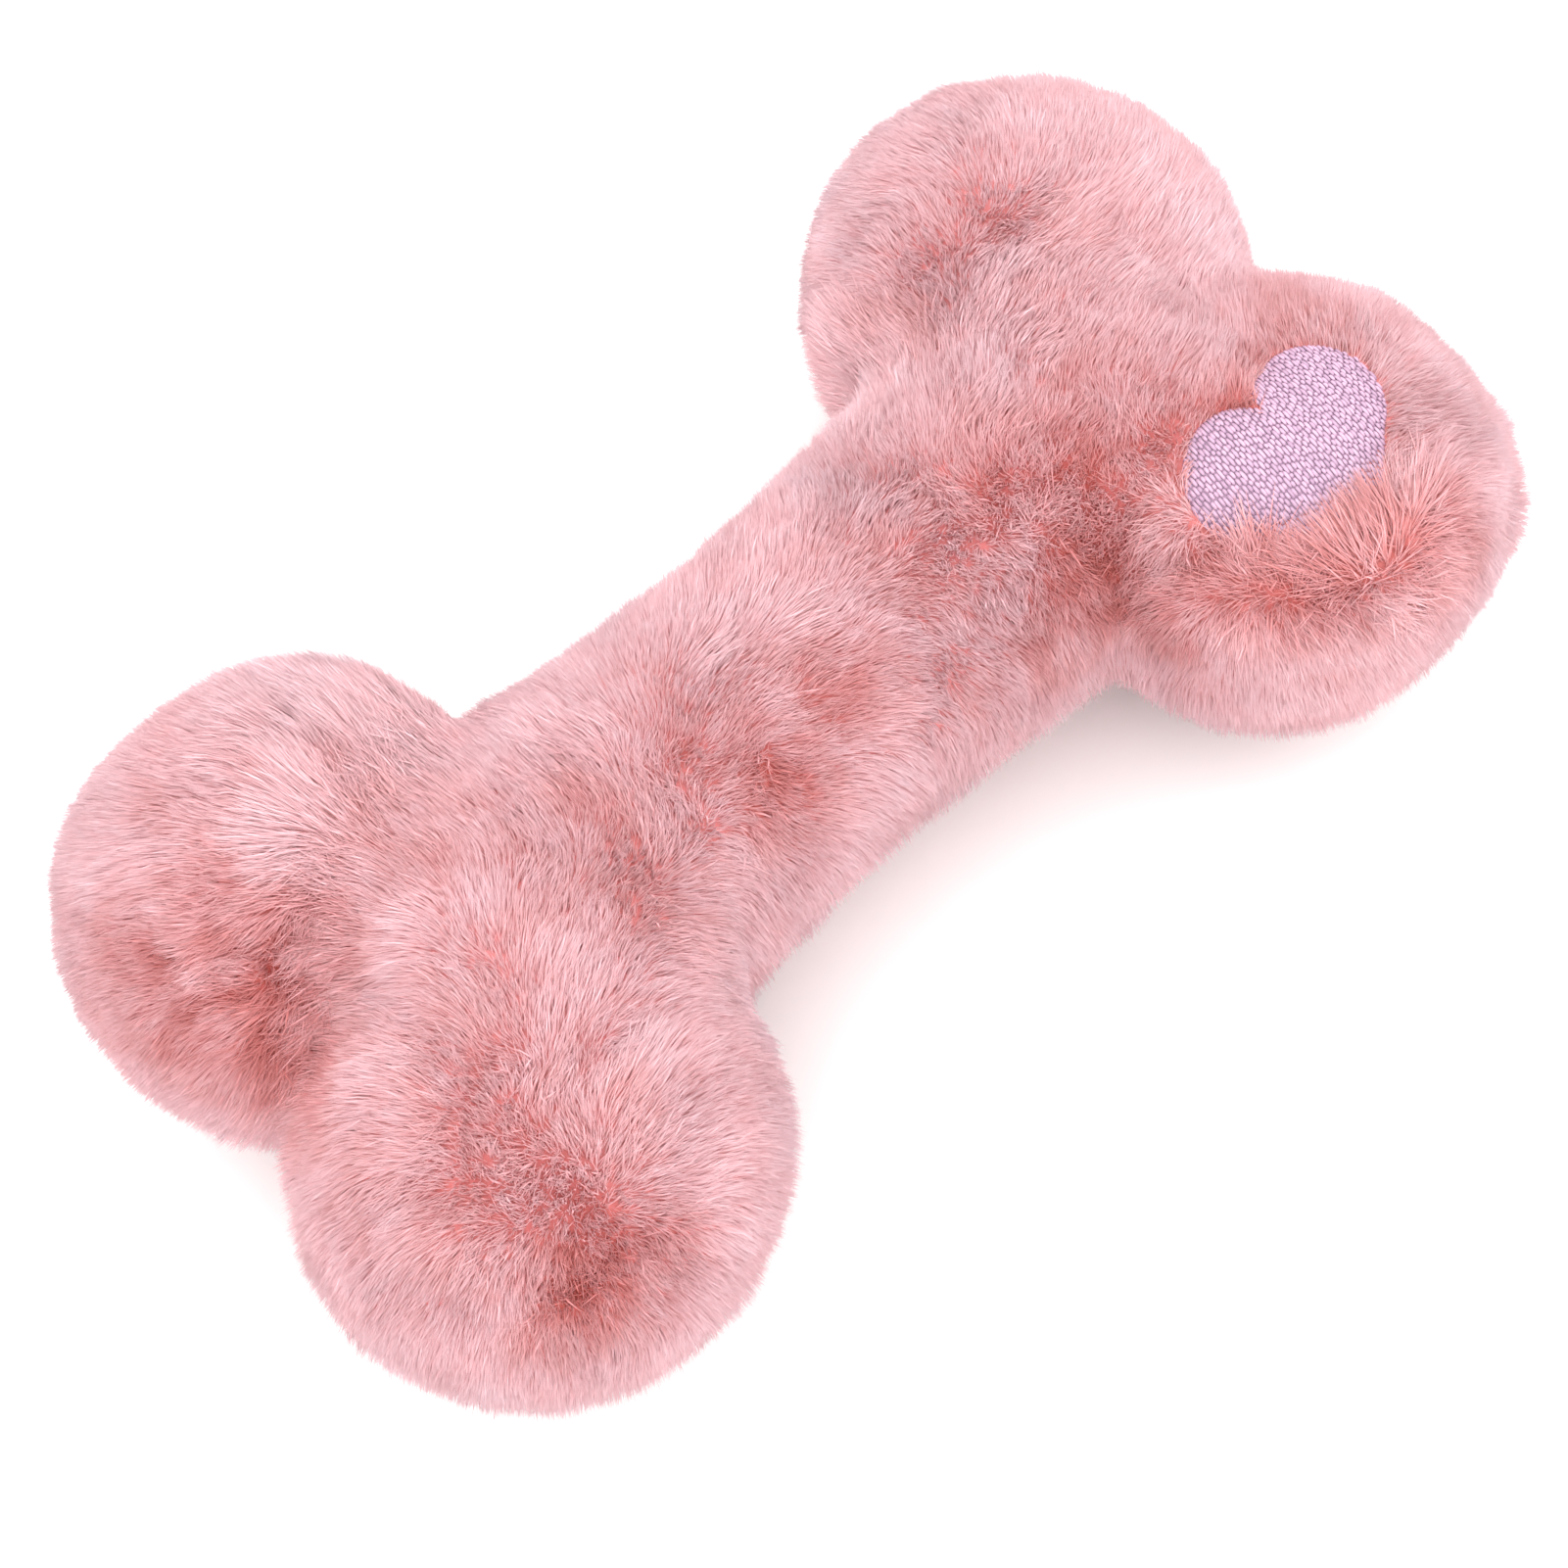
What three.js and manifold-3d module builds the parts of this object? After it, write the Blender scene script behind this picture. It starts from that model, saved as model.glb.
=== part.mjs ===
// A squeaky plush bone: two long-pile fur panels sewn together round their edge, fibre filling
// packed in wads, and a pleated squeaker in a pouch in the middle of the shaft.
// Millimetres. +X runs along the bone towards the heart, +Z is up, z = 0 is what it rests on.
import * as THREE from 'three';
import { mergeVertices } from 'three/addons/utils/BufferGeometryUtils.js';
import Module from 'manifold-3d';

const wasm = await Module();
wasm.setup();

// Fits that all pieces share
const gap = 0.3;            // room between pieces that touch
const overrun = 6;          // how far a cutting solid passes what it cuts

// The four knobs, two at each end
const knobRadius = 28.3;
const knobHalfHeight = 26.6;
const knobCentreX = 61;
const knobPress = 7;        // how far each knob is pressed flat against the other at its end
const knobCentreY = knobRadius - knobPress;
const restDepth = 0.5;      // how far the knobs are pressed flat where they rest
const seamZ = knobHalfHeight - restDepth;
const reach = knobCentreX + knobRadius + overrun;

// The shaft, thinnest at its waist and swelling into the knobs
const waistHalfWidth = 21.1;
const waistHalfHeight = 20.2;
const shaftPastKnobCentre = 3;
const flareShare = 0.38;    // how much wider the shaft is over the knob centres
const endPower = 8;         // how squarely the shaft's buried ends close

// Fur cloth: the mat of leaning pile, which its tips pass by about 1, and its knitted backing
const pileMat = 4;
const backing = 1;
const coverThickness = pileMat + backing;

// Edge seam and the hand-sewn closing
const threadRadius = 0.45;
const seamFromInside = 2.3;         // from the cover's inner face to the seam line
const closingLength = 36;
const ladderHeight = 0.7;           // how far each hand stitch reaches over and under the seam
const ladderPitch = 4;
const closingThreadRadius = 0.35;

// Embroidered heart on one knob
const heartInwards = 4.5;           // from the knob's centre towards the shaft
const heartForwards = 3.2;
const heartX = knobCentreX - heartInwards;
const heartY = -knobCentreY - heartForwards;
const heartTurn = THREE.MathUtils.degToRad(-6);
const lobeRadius = 7;
const lobeSpacing = 12.6;
const heartTip = 17.5;              // from the line of the lobe centres down to the tip
const tipRadius = 1.2;
const heartSunk = 1.2;              // its face lies this far below the mat's
const heartThickness = 1.6;
const stabiliserRadius = 18;
const stabiliserThickness = 0.7;

// Squeaker bellows, blow moulded
const bellowsRadius = 10.4;
const bellowsHeight = 13.6;
const bellowsWall = 0.8;
const pleatCount = 3;
const pleatDepth = 1.7;
const footInset = 1.4;
const shoulderRise = 1;
const neckRadius = 4.4;
const neckWall = 0.8;
const neckHeight = 2.4;

// Whistle in the bellows' neck
const flangeThickness = 1.2;
const sleeveLength = 6.2;
const sleeveWall = 0.7;
const bedFlatDrop = 0.5;            // how far the bed's flat lies behind the bore's axis
const airGrooveWidth = 1.1;
const airGrooveDepth = 1;
const wedgeLength = 1.8;
const tongueThickness = 0.25;
const tongueWidth = 2.4;
const tongueFree = 3.6;

// Pouch round the squeaker, two pressed cups of non-woven cloth welded at a rim
const pouchSlack = 0.6;             // room round the bellows' ridges
const pouchCloth = 0.4;
const pouchCorner = 2.4;
const weldWidth = 2;

// How far the middle of the shaft can be squeezed
const squeezeTravel = 8;

// Facet counts
const knobFacets = 20;
const knobRings = 10;
const cavityFacets = 12;
const cavityRings = 8;
const shaftFacets = 20;
const shaftStations = 12;
const pouchFacets = 16;
const squeakerFacets = 24;
const whistleFacets = 16;
const cornerSteps = 3;
const threadSides = 5;
const slotSides = 8;
const seamSteps = 60;
const ladderSteps = 54;
const arcPoints = 10;
const sidePoints = 4;
const heartArcPoints = 8;
const outsideJunction = THREE.MathUtils.degToRad(135);     // round a knob, surely off the shaft
const junctionTries = 30;

// Levels of what is stacked in the shaft, from the pouch's floor upwards
const bellowsTotal = bellowsHeight + shoulderRise + neckHeight;
const pouchRadius = bellowsRadius + pouchSlack + pouchCloth;
const pouchHeight = bellowsTotal + flangeThickness + pouchCloth * 2 + gap * 3;
const pouchFloorZ = seamZ - pouchHeight / 2;
const pouchTopZ = pouchFloorZ + pouchHeight;
const bellowsFloorZ = pouchFloorZ + pouchCloth + gap;
const neckTopZ = bellowsFloorZ + bellowsTotal;
const crownFloorZ = pouchTopZ + gap;
const baseTopZ = crownFloorZ - squeezeTravel - gap;
const neckBore = neckRadius - neckWall;
const sleeveRadius = neckBore - gap;
const sleeveBore = sleeveRadius - sleeveWall;
const bedRadius = sleeveBore - gap;

const sides = [
  { name: 'left_front', x: -1, y: -1 },
  { name: 'left_back', x: -1, y: 1 },
  { name: 'right_back', x: 1, y: 1 },
  { name: 'right_front', x: 1, y: -1 },
];
const heartSide = sides.find((side) => side.name === 'right_front');

const looks = {
  fur: () => finish('pink faux rabbit fur', 0xe5a0a5, 0.95),
  filling: () => finish('white polyester fibre', 0xf3f1ed, 1),
  thread: () => finish('pink sewing thread', 0xdf8f97, 0.7),
  heart: () => finish('lilac rayon embroidery', 0xdcb4d2, 0.45),
  cloth: () => finish('white non-woven cloth', 0xe9e7e2, 0.9),
  bellows: () => finish('natural polythene', 0xeef0ec, 0.4),
  whistle: () => finish('white moulded plastic', 0xf6f4ee, 0.35),
  tongue: () => finish('clear blue film', 0xbfd9e6, 0.2),
};

function finish(name, color, roughness) {
  return new THREE.MeshStandardMaterial({ name, color, roughness, metalness: 0 });
}

// Turns a closed geometry into a solid that can be cut
function toSolid(geometry) {
  const bare = geometry.clone();
  bare.deleteAttribute('normal');
  bare.deleteAttribute('uv');
  const merged = mergeVertices(bare);
  const corners = merged.index.array;
  const kept = [];
  for (let i = 0; i < corners.length; i += 3) {
    const [a, b, c] = corners.slice(i, i + 3);
    if (a !== b && b !== c && c !== a) kept.push(a, b, c);
  }
  return new wasm.Manifold(new wasm.Mesh({
    numProp: 3,
    vertProperties: new Float32Array(merged.attributes.position.array),
    triVerts: new Uint32Array(kept),
  }));
}

function toMesh(name, solid, material) {
  const { vertProperties, triVerts } = solid.getMesh();
  const geometry = new THREE.BufferGeometry();
  geometry.setAttribute('position', new THREE.BufferAttribute(vertProperties, 3));
  geometry.setIndex(new THREE.BufferAttribute(triVerts, 1));
  return named(name, geometry, material);
}

function named(name, geometry, material) {
  const mesh = new THREE.Mesh(geometry, material);
  mesh.name = name;
  return mesh;
}

function boxBetween(low, high) {
  const size = new THREE.Vector3().subVectors(high, low);
  const centre = new THREE.Vector3().addVectors(low, high).multiplyScalar(0.5);
  return toSolid(new THREE.BoxGeometry(size.x, size.y, size.z).translate(centre.x, centre.y, centre.z));
}

// One quarter or half of the space round the seam plane: above it or below it, front or back
function cell(level, sideY) {
  const near = sideY === 0 ? -reach : sideY * gap / 2;
  const far = sideY === 0 ? reach : sideY * reach;
  const from = seamZ + level * gap / 2;
  const to = level > 0 ? seamZ + reach : 0;
  return boxBetween(
    new THREE.Vector3(-reach, Math.min(near, far), Math.min(from, to)),
    new THREE.Vector3(reach, Math.max(near, far), Math.max(from, to)),
  );
}

// Knob surface moved inwards by inset, as an ellipsoid about the knob's centre
function knob(side, inset, facets = knobFacets, rings = knobRings) {
  const geometry = new THREE.SphereGeometry(1, facets, rings);
  geometry.rotateX(Math.PI / 2);
  geometry.scale(knobRadius - inset, knobRadius - inset, knobHalfHeight - inset);
  geometry.translate(side.x * knobCentreX, side.y * knobCentreY, seamZ);
  return toSolid(geometry);
}

function knobCavity(side, inset) {
  return knob(side, coverThickness + inset, cavityFacets, cavityRings);
}

// Half width of the shaft's outline at a distance x from its middle
function shaftHalfWidth(x) {
  return waistHalfWidth * (1 + flareShare * (x / knobCentreX) ** 2);
}

// Shaft surface moved inwards by inset: a turned outline, flattened a little in height
function shaft(inset) {
  const halfLength = knobCentreX + shaftPastKnobCentre - inset;
  const outline = [];
  for (let i = 0; i <= shaftStations; i += 1) {
    const x = halfLength * Math.sin(Math.PI * (i / shaftStations - 0.5));
    const closing = Math.sqrt(Math.max(0, 1 - Math.abs(x / halfLength) ** endPower));
    outline.push(new THREE.Vector2((shaftHalfWidth(x) - inset) * closing, x));
  }
  const geometry = new THREE.LatheGeometry(outline, shaftFacets);
  geometry.rotateZ(-Math.PI / 2);
  geometry.scale(1, 1, (waistHalfHeight - inset) / (waistHalfWidth - inset));
  geometry.translate(0, 0, seamZ);
  return toSolid(geometry);
}

// The hollow that the filling packs, left by the fur cloth all round
function makeCavity() {
  let hollow = shaft(coverThickness);
  for (const side of sides) hollow = hollow.add(knobCavity(side, 0));
  return hollow;
}

// Where the seam line meets the knob's circle and leaves it along the shaft
function junctionAngle(radius, inset) {
  let inside = Math.PI;
  let outside = outsideJunction;
  for (let i = 0; i < junctionTries; i += 1) {
    const angle = (inside + outside) / 2;
    const x = knobCentreX + radius * Math.cos(angle);
    const y = knobCentreY + radius * Math.sin(angle);
    if (y > shaftHalfWidth(x) - inset) outside = angle;
    else inside = angle;
  }
  return (inside + outside) / 2;
}

// A quarter of the seam line, from the shaft's side at startX round one knob to the cleft
function seamQuarter(sideX, sideY, startX) {
  const inset = coverThickness - seamFromInside;
  const radius = knobRadius - inset;
  const leave = junctionAngle(radius, inset);
  const cleft = -Math.asin(knobCentreY / radius);
  const leaveX = knobCentreX + radius * Math.cos(leave);
  const points = [];
  for (let i = 0; i < sidePoints; i += 1) {
    const x = startX + (leaveX - startX) * i / sidePoints;
    points.push(new THREE.Vector3(sideX * x, sideY * (shaftHalfWidth(x) - inset), seamZ));
  }
  for (let i = 0; i <= arcPoints; i += 1) {
    const angle = leave + (cleft - leave) * i / arcPoints;
    const x = knobCentreX + radius * Math.cos(angle);
    const y = knobCentreY + radius * Math.sin(angle);
    points.push(new THREE.Vector3(sideX * x, sideY * y, seamZ));
  }
  return points;
}

// The whole edge seam, from one end of the hand-sewn closing round to the other
function seamLine() {
  const start = closingLength / 2;
  const backRight = seamQuarter(1, 1, start);
  const frontRight = seamQuarter(1, -1, 0).reverse();
  const frontLeft = seamQuarter(-1, -1, 0);
  const backLeft = seamQuarter(-1, 1, start).reverse();
  const points = [
    ...backRight,
    ...frontRight.slice(1),
    ...frontLeft.slice(1),
    ...backLeft.slice(1),
  ];
  return new THREE.CatmullRomCurve3(points, false, 'centripetal');
}

// The hand-sewn closing's middle line on the back of the shaft, and its ladder of stitches
function closingLine(halfLength, rise) {
  const inset = coverThickness - seamFromInside;
  const steps = 2 * Math.round(closingLength / ladderPitch);
  const points = [];
  for (let i = 0; i <= steps; i += 1) {
    const x = halfLength * (2 * i / steps - 1);
    const lift = rise * Math.sin(Math.PI * i / 2);
    points.push(new THREE.Vector3(x, shaftHalfWidth(x) - inset, seamZ + lift));
  }
  return new THREE.CatmullRomCurve3(points, false, 'centripetal');
}

function tubeAlong(curve, radius, steps, sideCount) {
  const section = new THREE.Shape();
  for (let i = 0; i < sideCount; i += 1) {
    const angle = Math.PI * 2 * i / sideCount;
    const x = radius * Math.cos(angle);
    const y = radius * Math.sin(angle);
    if (i === 0) section.moveTo(x, y);
    else section.lineTo(x, y);
  }
  return new THREE.ExtrudeGeometry(section, { steps, extrudePath: curve });
}

// The slot between the two panels in which the seam's threads lie
function makeSeamSlot() {
  const seam = tubeAlong(seamLine(), threadRadius + gap, seamSteps, slotSides);
  const reachOut = ladderHeight + closingThreadRadius + gap;
  const closing = tubeAlong(closingLine(closingLength / 2 + gap, 0), reachOut, sidePoints, slotSides);
  return toSolid(seam).add(toSolid(closing));
}

// Heart outline: two round lobes and straight flanks that meet in a blunt tip, grown by margin
function heartOutline(margin) {
  const radius = lobeRadius + margin;
  const blunt = tipRadius + margin;
  const offset = lobeSpacing / 2;
  const drop = heartTip - tipRadius;
  const lean = Math.atan2(offset, drop);
  const flank = lean - Math.asin((radius - blunt) / Math.hypot(offset, drop));
  const notchAngle = Math.PI - Math.acos(Math.min(1, offset / radius));
  const outline = new THREE.Shape();
  outline.absarc(offset, 0, radius, notchAngle, -flank, true);
  outline.absarc(0, -drop, blunt, -flank, -Math.PI + flank, true);
  outline.absarc(-offset, 0, radius, -Math.PI + flank, -Math.PI - notchAngle, true);
  return outline;
}

// Upright prism of the heart, through the top of its knob
function heartPrism(margin) {
  const geometry = new THREE.ExtrudeGeometry(heartOutline(margin), {
    depth: knobHalfHeight + overrun,
    bevelEnabled: false,
    curveSegments: heartArcPoints,
  });
  geometry.rotateZ(heartTurn);
  geometry.translate(heartX, heartY, seamZ);
  return toSolid(geometry);
}

// Upright disc under the heart, through the top of its knob
function stabiliserPrism(margin) {
  const radius = stabiliserRadius + margin;
  const height = knobHalfHeight + overrun;
  const geometry = new THREE.CylinderGeometry(radius, radius, height, squeakerFacets);
  geometry.rotateX(Math.PI / 2);
  geometry.translate(heartX, heartY, seamZ + height / 2);
  return toSolid(geometry);
}

function makeHeart() {
  const face = knob(heartSide, heartSunk);
  const back = knob(heartSide, heartSunk + heartThickness);
  return toMesh('embroidered_heart', heartPrism(0).intersect(face).subtract(back), looks.heart());
}

// Tear-away cloth that stiffens the backing behind the stitches, let into the cover's inner face
function makeStabiliser() {
  const face = knobCavity(heartSide, -stabiliserThickness);
  const inner = makeCavity();
  const disc = stabiliserPrism(0).intersect(face).subtract(inner);
  return toMesh('embroidery_stabiliser', disc.intersect(cell(1, heartSide.y)), looks.cloth());
}

// What is cut from the heart's knob so that the embroidery and its stabiliser lie in it
function heartRecess() {
  const bed = knob(heartSide, heartSunk + heartThickness + gap);
  const pocket = heartPrism(gap).subtract(bed);
  const behind = stabiliserPrism(gap).intersect(knobCavity(heartSide, -stabiliserThickness - gap));
  return pocket.add(behind);
}

function makeKnobCovers(cavity, slot) {
  const meshes = [];
  for (const side of sides) {
    const shell = knob(side, 0).subtract(cavity).subtract(slot);
    let upper = shell.intersect(cell(1, side.y));
    if (side === heartSide) upper = upper.subtract(heartRecess());
    meshes.push(toMesh(`upper_cover_${side.name}`, upper, looks.fur()));
    meshes.push(toMesh(`lower_cover_${side.name}`, shell.intersect(cell(-1, side.y)), looks.fur()));
  }
  return meshes;
}

function makeShaftCovers(cavity, slot) {
  let shell = shaft(0).subtract(cavity).subtract(slot);
  for (const side of sides) shell = shell.subtract(knob(side, -gap));
  return [
    toMesh('upper_cover_shaft', shell.intersect(cell(1, 0)), looks.fur()),
    toMesh('lower_cover_shaft', shell.intersect(cell(-1, 0)), looks.fur()),
  ];
}

function makeKnobFillings() {
  return sides.map((side) => {
    const half = boxBetween(
      new THREE.Vector3(-reach, side.y > 0 ? gap / 2 : -reach, -overrun),
      new THREE.Vector3(reach, side.y > 0 ? reach : -gap / 2, seamZ + reach),
    );
    return toMesh(`filling_${side.name}`, knobCavity(side, gap).intersect(half), looks.filling());
  });
}

// The shaft's wads: a fixed base, two that crush beside the pouch, and a crown that is pressed down
function makeShaftFillings() {
  let wad = shaft(coverThickness + gap);
  for (const side of sides) wad = wad.subtract(knobCavity(side, 0));
  const pouchRoom = toSolid(new THREE.LatheGeometry(pouchRoomOutline(), pouchFacets).rotateX(Math.PI / 2));
  const around = wad.subtract(pouchRoom);
  const slab = (lowX, highX, lowZ, highZ) => boxBetween(
    new THREE.Vector3(lowX, -reach, lowZ),
    new THREE.Vector3(highX, reach, highZ),
  );
  let crown = wad.intersect(slab(-reach, reach, crownFloorZ, seamZ + reach));
  for (const side of sides) {
    crown = crown.subtract(knobCavity(side, 0).translate(0, 0, squeezeTravel));
    crown = crown.subtract(knobCavity(side, 0).translate(0, 0, squeezeTravel / 2));
  }
  const crushTop = crownFloorZ - gap;
  const crushFloor = baseTopZ + gap;
  return [
    toMesh('filling_shaft_base', around.intersect(slab(-reach, reach, 0, baseTopZ)), looks.filling()),
    toMesh('filling_shaft_left', around.intersect(slab(-reach, -gap / 2, crushFloor, crushTop)), looks.filling()),
    toMesh('filling_shaft_right', around.intersect(slab(gap / 2, reach, crushFloor, crushTop)), looks.filling()),
    toMesh('filling_shaft_crown', crown, looks.filling()),
  ];
}

// Outline of the pouch's outside, grown by a gap, with its weld rim's room
function pouchRoomOutline() {
  const rimHalf = pouchCloth + gap + gap / 2;
  const rimRadius = pouchRadius + weldWidth + gap;
  const radius = pouchRadius + gap;
  const points = cupOutline(radius, pouchFloorZ - gap, seamZ - rimHalf, pouchCorner);
  points.push(new THREE.Vector2(rimRadius, seamZ - rimHalf));
  points.push(new THREE.Vector2(rimRadius, seamZ + rimHalf));
  const upper = cupOutline(radius, pouchTopZ + gap / 2, seamZ + rimHalf, pouchCorner);
  return points.concat(upper.reverse());
}

// From the axis along a flat floor, round a corner and up a straight wall to the rim
function cupOutline(radius, floorZ, rimZ, corner) {
  const up = Math.sign(rimZ - floorZ);
  const points = [new THREE.Vector2(0, floorZ)];
  for (let i = 0; i <= cornerSteps; i += 1) {
    const angle = Math.PI / 2 * i / cornerSteps;
    const r = radius - corner + corner * Math.sin(angle);
    points.push(new THREE.Vector2(r, floorZ + up * corner * (1 - Math.cos(angle))));
  }
  points.push(new THREE.Vector2(radius, rimZ));
  return points;
}

// One cup of the pouch with its weld rim, above or below the seam
function pouchCup(level) {
  const floorZ = level > 0 ? pouchTopZ : pouchFloorZ;
  const rimZ = seamZ + level * gap / 2;
  const outside = cupOutline(pouchRadius, floorZ, rimZ + level * pouchCloth, pouchCorner);
  outside.push(new THREE.Vector2(pouchRadius + weldWidth, rimZ + level * pouchCloth));
  outside.push(new THREE.Vector2(pouchRadius + weldWidth, rimZ));
  const inside = cupOutline(pouchRadius - pouchCloth, floorZ - level * pouchCloth, rimZ, pouchCorner - pouchCloth);
  const outline = outside.concat(inside.reverse());
  if (level > 0) outline.reverse();
  return new THREE.LatheGeometry(outline, pouchFacets).rotateX(Math.PI / 2);
}

// Bellows wall, seen as radii and heights: foot, pleats, shoulder and open neck
function bellowsOutline(inset) {
  const ridge = bellowsRadius - inset;
  const valley = ridge - pleatDepth;
  const floorZ = bellowsFloorZ + inset;
  const shoulderZ = bellowsFloorZ + bellowsHeight;
  const step = (shoulderZ - bellowsFloorZ) / (pleatCount * 2 + 1);
  const points = [
    new THREE.Vector2(0, floorZ),
    new THREE.Vector2(ridge - footInset, floorZ),
  ];
  for (let i = 0; i < pleatCount * 2 + 1; i += 1) {
    const radius = i % 2 === 0 ? ridge : valley;
    points.push(new THREE.Vector2(radius, bellowsFloorZ + step * (i + 0.5)));
  }
  points.push(new THREE.Vector2(ridge - footInset, shoulderZ - inset));
  points.push(new THREE.Vector2(neckRadius - (inset > 0 ? neckWall : 0), shoulderZ + shoulderRise - inset));
  points.push(new THREE.Vector2(neckRadius - (inset > 0 ? neckWall : 0), neckTopZ));
  return points;
}

function makeBellows() {
  const outline = bellowsOutline(0).concat(bellowsOutline(bellowsWall).reverse());
  const geometry = new THREE.LatheGeometry(outline, squeakerFacets).rotateX(Math.PI / 2);
  return named('squeaker_bellows', geometry, looks.bellows());
}

function makePouch() {
  return [
    named('squeaker_pouch_lower', pouchCup(-1), looks.cloth()),
    named('squeaker_pouch_upper', pouchCup(1), looks.cloth()),
  ];
}

// Flanged tube that plugs the bellows' neck
function makeSleeve() {
  const underFlangeZ = neckTopZ + gap;
  const bottomZ = underFlangeZ - sleeveLength;
  const outline = [
    new THREE.Vector2(sleeveBore, bottomZ),
    new THREE.Vector2(sleeveRadius, bottomZ),
    new THREE.Vector2(sleeveRadius, underFlangeZ),
    new THREE.Vector2(neckRadius, underFlangeZ),
    new THREE.Vector2(neckRadius, underFlangeZ + flangeThickness),
    new THREE.Vector2(sleeveBore, underFlangeZ + flangeThickness),
    new THREE.Vector2(sleeveBore, bottomZ),
  ];
  const geometry = new THREE.LatheGeometry(outline, whistleFacets).rotateX(Math.PI / 2);
  return named('reed_sleeve', geometry, looks.whistle());
}

// Segment of a disc that lies behind (sideY -1) or before (sideY 1) a flat at distance flatY
function discSegment(radius, flatY, sideY) {
  const start = Math.asin(flatY / radius);
  const points = [];
  for (let i = 0; i <= whistleFacets / 2; i += 1) {
    const angle = start + (Math.PI - 2 * start) * i / (whistleFacets / 2);
    points.push(new THREE.Vector2(radius * Math.cos(angle), sideY * radius * Math.sin(angle)));
  }
  return points;
}

// Half-round bed with the air groove down its flat, which the tongue closes
function makeReedBed() {
  const points = discSegment(bedRadius, bedFlatDrop, -1);
  const half = airGrooveWidth / 2;
  const floorY = -bedFlatDrop - airGrooveDepth;
  points.push(new THREE.Vector2(-half, -bedFlatDrop));
  points.push(new THREE.Vector2(-half, floorY));
  points.push(new THREE.Vector2(half, floorY));
  points.push(new THREE.Vector2(half, -bedFlatDrop));
  const geometry = new THREE.ExtrudeGeometry(new THREE.Shape(points), {
    depth: sleeveLength,
    bevelEnabled: false,
  });
  geometry.translate(0, 0, neckTopZ + gap - sleeveLength);
  return named('reed_bed', geometry, looks.whistle());
}

const tongueBackY = -bedFlatDrop + gap;
const wedgeFlatY = tongueBackY + tongueThickness + gap;
const clampTopZ = neckTopZ + gap;
const clampFootZ = clampTopZ - wedgeLength;

// Short half-round wedge that clamps the tongue's root
function makeReedWedge() {
  const geometry = new THREE.ExtrudeGeometry(new THREE.Shape(discSegment(bedRadius, wedgeFlatY, 1)), {
    depth: wedgeLength,
    bevelEnabled: false,
  });
  geometry.translate(0, 0, clampFootZ);
  return named('reed_wedge', geometry, looks.whistle());
}

// Thin tongue with a round free end, hanging down the bed from the wedge
function makeReedTongue() {
  const half = tongueWidth / 2;
  const outline = new THREE.Shape();
  outline.moveTo(-half, wedgeLength);
  outline.lineTo(-half, -tongueFree + half);
  outline.absarc(0, -tongueFree + half, half, Math.PI, Math.PI * 2, false);
  outline.lineTo(half, wedgeLength);
  outline.closePath();
  const geometry = new THREE.ExtrudeGeometry(outline, {
    depth: tongueThickness,
    bevelEnabled: false,
    curveSegments: heartArcPoints,
  });
  geometry.rotateX(Math.PI / 2);
  geometry.translate(0, tongueBackY + tongueThickness, clampFootZ);
  return named('reed_tongue', geometry, looks.tongue());
}

function makeSeamThreads() {
  const seam = tubeAlong(seamLine(), threadRadius, seamSteps, threadSides);
  const line = closingLine(closingLength / 2 - gap, ladderHeight);
  const ladder = tubeAlong(line, closingThreadRadius, ladderSteps, threadSides);
  return [
    named('edge_seam_thread', seam, looks.thread()),
    named('closing_ladder_thread', ladder, looks.thread()),
  ];
}

const cavity = makeCavity();
const slot = makeSeamSlot();

const bone = new THREE.Group();
bone.name = 'plush_bone';
bone.add(...makeKnobCovers(cavity, slot));
bone.add(...makeShaftCovers(cavity, slot));
bone.add(...makeKnobFillings());
bone.add(...makeShaftFillings());
bone.add(...makeSeamThreads());
bone.add(makeHeart());
bone.add(makeStabiliser());

const squeaker = new THREE.Group();
squeaker.name = 'squeaker';
squeaker.add(...makePouch());
squeaker.add(makeBellows());
squeaker.add(makeSleeve());
squeaker.add(makeReedBed());
squeaker.add(makeReedWedge());
squeaker.add(makeReedTongue());
bone.add(squeaker);

export default bone;
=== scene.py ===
import math

import bpy
import numpy as np
from mathutils import Matrix, Vector


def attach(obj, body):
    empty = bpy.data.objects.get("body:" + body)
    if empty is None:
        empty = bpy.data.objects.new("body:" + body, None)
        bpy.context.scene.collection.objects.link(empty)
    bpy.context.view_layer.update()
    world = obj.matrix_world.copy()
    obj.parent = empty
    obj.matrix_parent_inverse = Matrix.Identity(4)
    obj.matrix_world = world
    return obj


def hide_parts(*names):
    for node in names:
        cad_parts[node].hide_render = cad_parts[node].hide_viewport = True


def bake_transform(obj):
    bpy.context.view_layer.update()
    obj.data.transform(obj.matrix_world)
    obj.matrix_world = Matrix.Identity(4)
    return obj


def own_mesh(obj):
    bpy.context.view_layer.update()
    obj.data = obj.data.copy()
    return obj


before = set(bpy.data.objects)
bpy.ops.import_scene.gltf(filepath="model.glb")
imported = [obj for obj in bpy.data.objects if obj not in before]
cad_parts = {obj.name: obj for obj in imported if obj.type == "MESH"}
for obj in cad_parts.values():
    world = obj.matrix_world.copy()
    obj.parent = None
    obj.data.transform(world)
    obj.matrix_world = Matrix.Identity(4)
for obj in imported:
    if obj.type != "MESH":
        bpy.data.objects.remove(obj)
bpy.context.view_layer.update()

metre = 0.001  # every size below is in millimetres

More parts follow.
